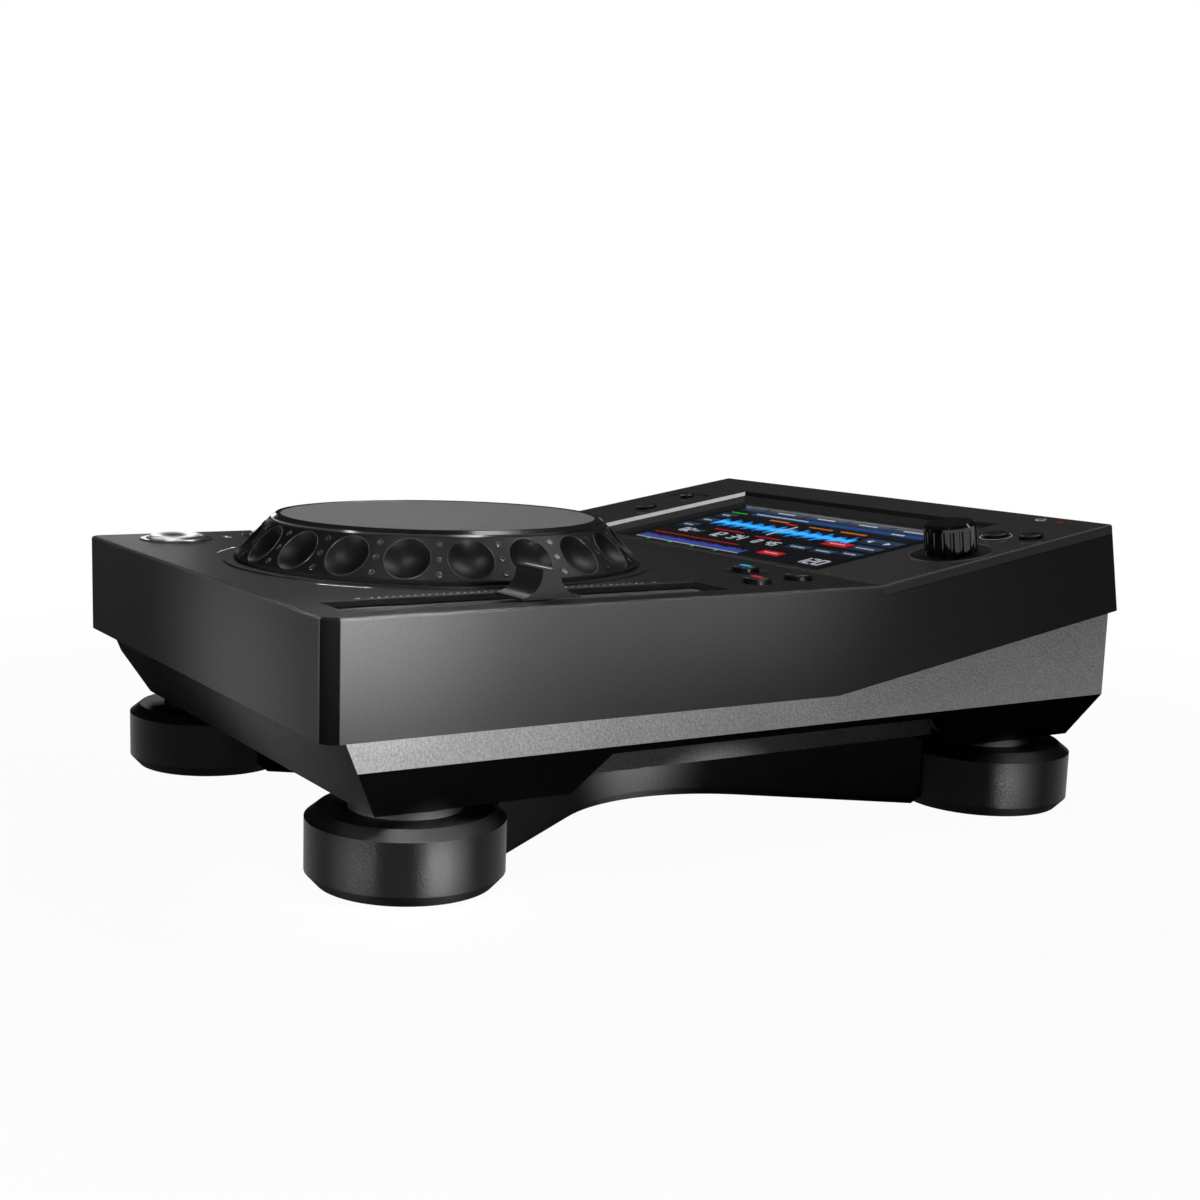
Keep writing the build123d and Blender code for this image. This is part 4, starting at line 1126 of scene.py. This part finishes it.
def add_picture(name, bars, color, layer, strength=1.0):
    glass_top = wedge_box("display_glass")[1].z
    pane_top = glass_top + picture_lift * (layer + 1)
    panes = []
    for u0, v0, u1, v1 in bars:
        low = (lit_low.x + u0 * lit_size.x, lit_low.y + v0 * lit_size.y, glass_top)
        high = (lit_low.x + u1 * lit_size.x, lit_low.y + v1 * lit_size.y, pane_top)
        panes.append(moved(plate(low, high), on_wedge(0, 0)))
    add_piece(name, joined(panes), lit_finish(name, color, strength), "chassis")


def add_screen_tiles():
    tiles = tab_shares + side_tile_shares + arrow_tile_shares + low_tile_shares
    tops = [(u0, (v0 + v1) / 2, u1, v1) for u0, v0, u1, v1 in tiles]
    add_picture("screen_ground", [(0, 0, 1, 1)], (0.0008, 0.0009, 0.0015), layer=0)
    add_picture("screen_tiles", tiles, (0.008, 0.022, 0.05), layer=1)
    add_picture("screen_tile_tops", tops, (0.022, 0.05, 0.095), layer=2)
    add_picture("screen_title_bar", title_bar_shares, (0.004, 0.045, 0.2), layer=1)


def add_screen_waves():
    wave = waveform(left=0.10, right=0.81, middle_height=0.6, swing=0.105, count=150)
    core = waveform(left=0.10, right=0.81, middle_height=0.6, swing=0.05, count=150)
    add_picture("screen_waveform", wave, (0.008, 0.24, 0.80), layer=1, strength=1.1)
    add_picture("screen_wave_core", core, (0.05, 0.48, 1.0), layer=2, strength=1.1)
    add_picture("screen_playhead", playhead_shares, grey(0.7), layer=3)


def add_screen_words():
    ambers = word_rows(amber_word_shares)
    reds = red_block_shares + word_rows(red_word_shares)
    add_picture("screen_amber_marks", ambers, (0.6, 0.14, 0.008), layer=2)
    add_picture("screen_red_marks", reds, (0.55, 0.008, 0.012), layer=2)


def add_screen_numbers():
    marks = []
    for row in number_shares:
        marks += number(*row)
    for start in tab_start_shares:
        left = start + tab_label_inset
        marks += word_marks(left, left + tab_label_length, tab_label_low, tab_label_height)
    for u0, v0, u1, v1 in side_tile_shares + low_tile_shares:
        low = (v0 + v1) / 2 - tile_label_height / 2
        marks += word_marks(u0 + tile_label_inset, u1 - tile_label_inset, low, tile_label_height)
    marks += word_rows(label_word_shares)
    add_picture("screen_numbers", marks, (0.5, 0.54, 0.58), layer=3)


def add_screen_overview():
    bars = overview(left=0.02, right=0.6, low=0.075, swing=0.075, count=120)
    add_picture("screen_overview", bars, (0.04, 0.06, 0.34), layer=2)
    add_picture("screen_overview_line", overview_line_shares, (0.35, 0.38, 0.42), layer=2)
    add_picture("screen_green_marks", green_shares, (0.02, 0.5, 0.05), layer=3)


screen_arrow_shares = ((0.862, -1), (0.945, 1))
screen_arrow_height_share = 0.655
screen_arrow_back = 1.0 * mm
screen_arrow_tip = 1.4 * mm
screen_arrow_half = 1.5 * mm


def add_screen_arrows():
    glass_top = wedge_box("display_glass")[1].z
    y = lit_low.y + screen_arrow_height_share * lit_size.y
    arrows = []
    for share, side in screen_arrow_shares:
        x = lit_low.x + share * lit_size.x
        back = x - side * screen_arrow_back
        tip = x + side * screen_arrow_tip
        points = [(back, y - screen_arrow_half), (tip, y), (back, y + screen_arrow_half)]
        outline = points if side > 0 else list(reversed(points))
        arrows.append(moved(prism(outline, glass_top, glass_top + 4 * picture_lift), on_wedge(0, 0)))
    finish = lit_finish("screen_arrows", (0.6, 0.65, 0.7), strength=1.0)
    add_piece("screen_arrows", joined(arrows), finish, "chassis")


def add_display():
    add_screen_tiles()
    add_screen_waves()
    add_screen_words()
    add_screen_numbers()
    add_screen_overview()
    add_screen_arrows()


# Stage: pale world and floor

sweep_low = -0.06
sweep_high = 0.0
room_level = 0.06
ceiling_level = 0.02
floor_level = 0.3
floor_glow = 0.96
floor_reach = 6.0
shadow_near = 0.22
shadow_far = 0.5


def background(tree, level):
    node = tree.nodes.new("ShaderNodeBackground")
    node.inputs["Color"].default_value = (1, 1, 1, 1)
    node.inputs["Strength"].default_value = level
    return node.outputs[0]


def ramp(tree, value, value_from, value_to, result_from, result_to):
    node = tree.nodes.new("ShaderNodeMapRange")
    node.inputs["From Min"].default_value = value_from
    node.inputs["From Max"].default_value = value_to
    node.inputs["To Min"].default_value = result_from
    node.inputs["To Max"].default_value = result_to
    tree.links.new(value, node.inputs["Value"])
    return node.outputs["Result"]


def mixed_shader(tree, mask, first, second):
    node = tree.nodes.new("ShaderNodeMixShader")
    for socket, value in zip(node.inputs, (mask, first, second)):
        tree.links.new(value, socket)
    return node.outputs[0]


def pale_world():
    world = bpy.data.worlds.new("pale_studio")
    bpy.context.scene.world = world
    world.use_nodes = True
    tree = world.node_tree
    tree.nodes.clear()
    path = tree.nodes.new("ShaderNodeLightPath").outputs
    direction = tree.nodes.new("ShaderNodeSeparateXYZ")
    tree.links.new(tree.nodes.new("ShaderNodeTexCoord").outputs["Generated"], direction.inputs[0])
    sweep = ramp(tree, direction.outputs["Z"], sweep_low, sweep_high, 1.0, 0.0)
    mirrored = math_node(tree, "MAXIMUM", path["Is Glossy Ray"], path["Is Transmission Ray"])
    mirrored = math_node(tree, "MULTIPLY", mirrored, sweep)
    shown = math_node(tree, "MAXIMUM", path["Is Camera Ray"], mirrored)
    room, ceiling, seen = [background(tree, level) for level in (room_level, ceiling_level, 1.0)]
    above = mixed_shader(tree, path["Is Glossy Ray"], room, ceiling)
    out = tree.nodes.new("ShaderNodeOutputWorld")
    tree.links.new(mixed_shader(tree, shown, above, seen), out.inputs["Surface"])


def floor_finish():
    finish = bpy.data.materials.new("floor_pale")
    finish.use_nodes = True
    tree = finish.node_tree
    tree.nodes.clear()
    path = tree.nodes.new("ShaderNodeLightPath").outputs
    shown = math_node(tree, "MAXIMUM", path["Is Camera Ray"], path["Is Glossy Ray"])
    shown = math_node(tree, "MAXIMUM", shown, path["Is Transmission Ray"])
    away = vector_node(tree, "LENGTH", object_place(tree)).outputs["Value"]
    fade = ramp(tree, away, shadow_near, shadow_far, floor_glow, 1.0)
    shown = math_node(tree, "MULTIPLY", shown, fade)
    matte = tree.nodes.new("ShaderNodeBsdfDiffuse")
    matte.inputs["Color"].default_value = (*grey(floor_level), 1)
    glow = tree.nodes.new("ShaderNodeEmission")
    glow.inputs["Strength"].default_value = 1.0
    out = tree.nodes.new("ShaderNodeOutputMaterial")
    both = mixed_shader(tree, shown, matte.outputs[0], glow.outputs[0])
    tree.links.new(both, out.inputs["Surface"])
    return finish


def pale_floor():
    mesh = bpy.data.meshes.new("floor")
    corners = [(-1, -1), (1, -1), (1, 1), (-1, 1)]
    points = [(x * floor_reach, y * floor_reach, 0) for x, y in corners]
    mesh.from_pydata(points, [], [(0, 1, 2, 3)])
    mesh.materials.append(floor_finish())
    floor = bpy.data.objects.new("floor", mesh)
    bpy.context.scene.collection.objects.link(floor)


# Lamps: softboxes, the narrow ones with a grid that holds their light together.
# A foot strip is (name, foot, turn round the foot in degrees, power).

strip_size = (0.004, 0.02)
strip_distance = 0.7
strip_height = 0.03
strip_spread = 1.6
foot_strips = (
    ("front_foot_left_strip", "foot_front_right", -57.7, 0.004),
    ("front_foot_right_strip", "foot_front_right", -2.4, 0.010),
    ("rear_foot_strip", "foot_rear_right", -19.8, 0.005),
)


def softbox(name, place, aim, size, power, spread=180):
    lamp = bpy.data.lights.new(name, "AREA")
    lamp.shape = "RECTANGLE"
    lamp.size, lamp.size_y = size
    lamp.energy = power
    lamp.spread = math.radians(spread)
    holder = bpy.data.objects.new(name, lamp)
    bpy.context.scene.collection.objects.link(holder)
    holder.location = place
    holder.rotation_euler = (Vector(aim) - Vector(place)).to_track_quat("-Z", "Y").to_euler()
    holder.visible_camera = False


def add_high_lamps():
    softbox("top_softbox", place=(0.08, 0.45, 1.0), aim=(0, 0, 0.08), size=(0.3, 0.6), power=6.5)
    softbox(
        "left_softbox", place=(-0.74, 0.2, 0.80), aim=(-0.09, -0.11, 0.083), size=(0.3, 0.3), power=1.8
    )
    softbox(
        "low_softbox", place=(-0.75, 0.06, 0.16), aim=(-0.09, -0.14, 0.083), size=(0.1, 0.1), power=0.08
    )
    softbox(
        "jog_softbox",
        place=(0.20, -0.38, 0.90),
        aim=(-0.01, -0.06, 0.09),
        size=(0.36, 0.16),
        power=0.12,
        spread=16,
    )
    softbox(
        "foot_softbox",
        place=(0.30, -0.235, 0.90),
        aim=(0.1065, -0.127, 0.02),
        size=(0.05, 0.05),
        power=0.05,
        spread=7,
    )


def add_side_lamps():
    softbox(
        "side_softbox",
        place=(0.60, -0.17, 0.085),
        aim=(0.11, -0.20, 0.055),
        size=(0.2, 0.09),
        power=0.19,
        spread=50,
    )
    softbox(
        "edge_softbox",
        place=(0.60, -0.24, 0.090),
        aim=(0.109, -0.24, 0.088),
        size=(0.24, 0.012),
        power=0.10,
        spread=10,
    )
    softbox(
        "middle_softbox",
        place=(0.60, -0.08, 0.090),
        aim=(0.109, -0.08, 0.088),
        size=(0.2, 0.012),
        power=0.025,
        spread=10,
    )
    softbox(
        "front_softbox",
        place=(0.06, -0.75, 0.065),
        aim=(0.045, -0.15, 0.056),
        size=(0.06, 0.05),
        power=0.022,
        spread=13,
    )
    softbox(
        "plinth_softbox",
        place=(0.75, -0.10, 0.03),
        aim=(0.05, -0.004, 0.014),
        size=(0.02, 0.004),
        power=0.011,
        spread=3.5,
    )


def add_foot_strips():
    for name, foot, turn, power in foot_strips:
        low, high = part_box(foot)
        out = Vector((*ring_spot(1.0, math.radians(turn)), 0))
        spot = middle(foot) + out * (high.x - low.x) / 2
        place = spot + out * strip_distance
        place.z = strip_height
        softbox(name, place, spot, strip_size, power, strip_spread)


def add_camera():
    data = bpy.data.cameras.new("photo_camera")
    data.sensor_width = camera_sensor
    data.lens = camera_lens
    data.shift_x, data.shift_y = camera_shift
    data.clip_start = camera_near
    camera = bpy.data.objects.new("photo_camera", data)
    bpy.context.scene.collection.objects.link(camera)
    pan = Matrix.Rotation(math.radians(camera_azimuth), 4, "Z")
    tilt = Matrix.Rotation(math.radians(90 + camera_pitch), 4, "X")
    roll = Matrix.Rotation(math.radians(camera_roll), 4, "Z")
    camera.matrix_world = Matrix.Translation(camera_place) @ pan @ tilt @ roll
    bpy.context.scene.camera = camera


paint_nodes()
add_jog_trim()
add_tempo_trim()
add_jog_marks()
add_key_sign()
add_main_keys()
add_key_windows()
add_wedge_trim()
add_display()
pale_world()
pale_floor()
add_high_lamps()
add_side_lamps()
add_foot_strips()
add_camera()
bpy.context.scene.view_settings.view_transform = "Standard"

bpy.context.view_layer.update()
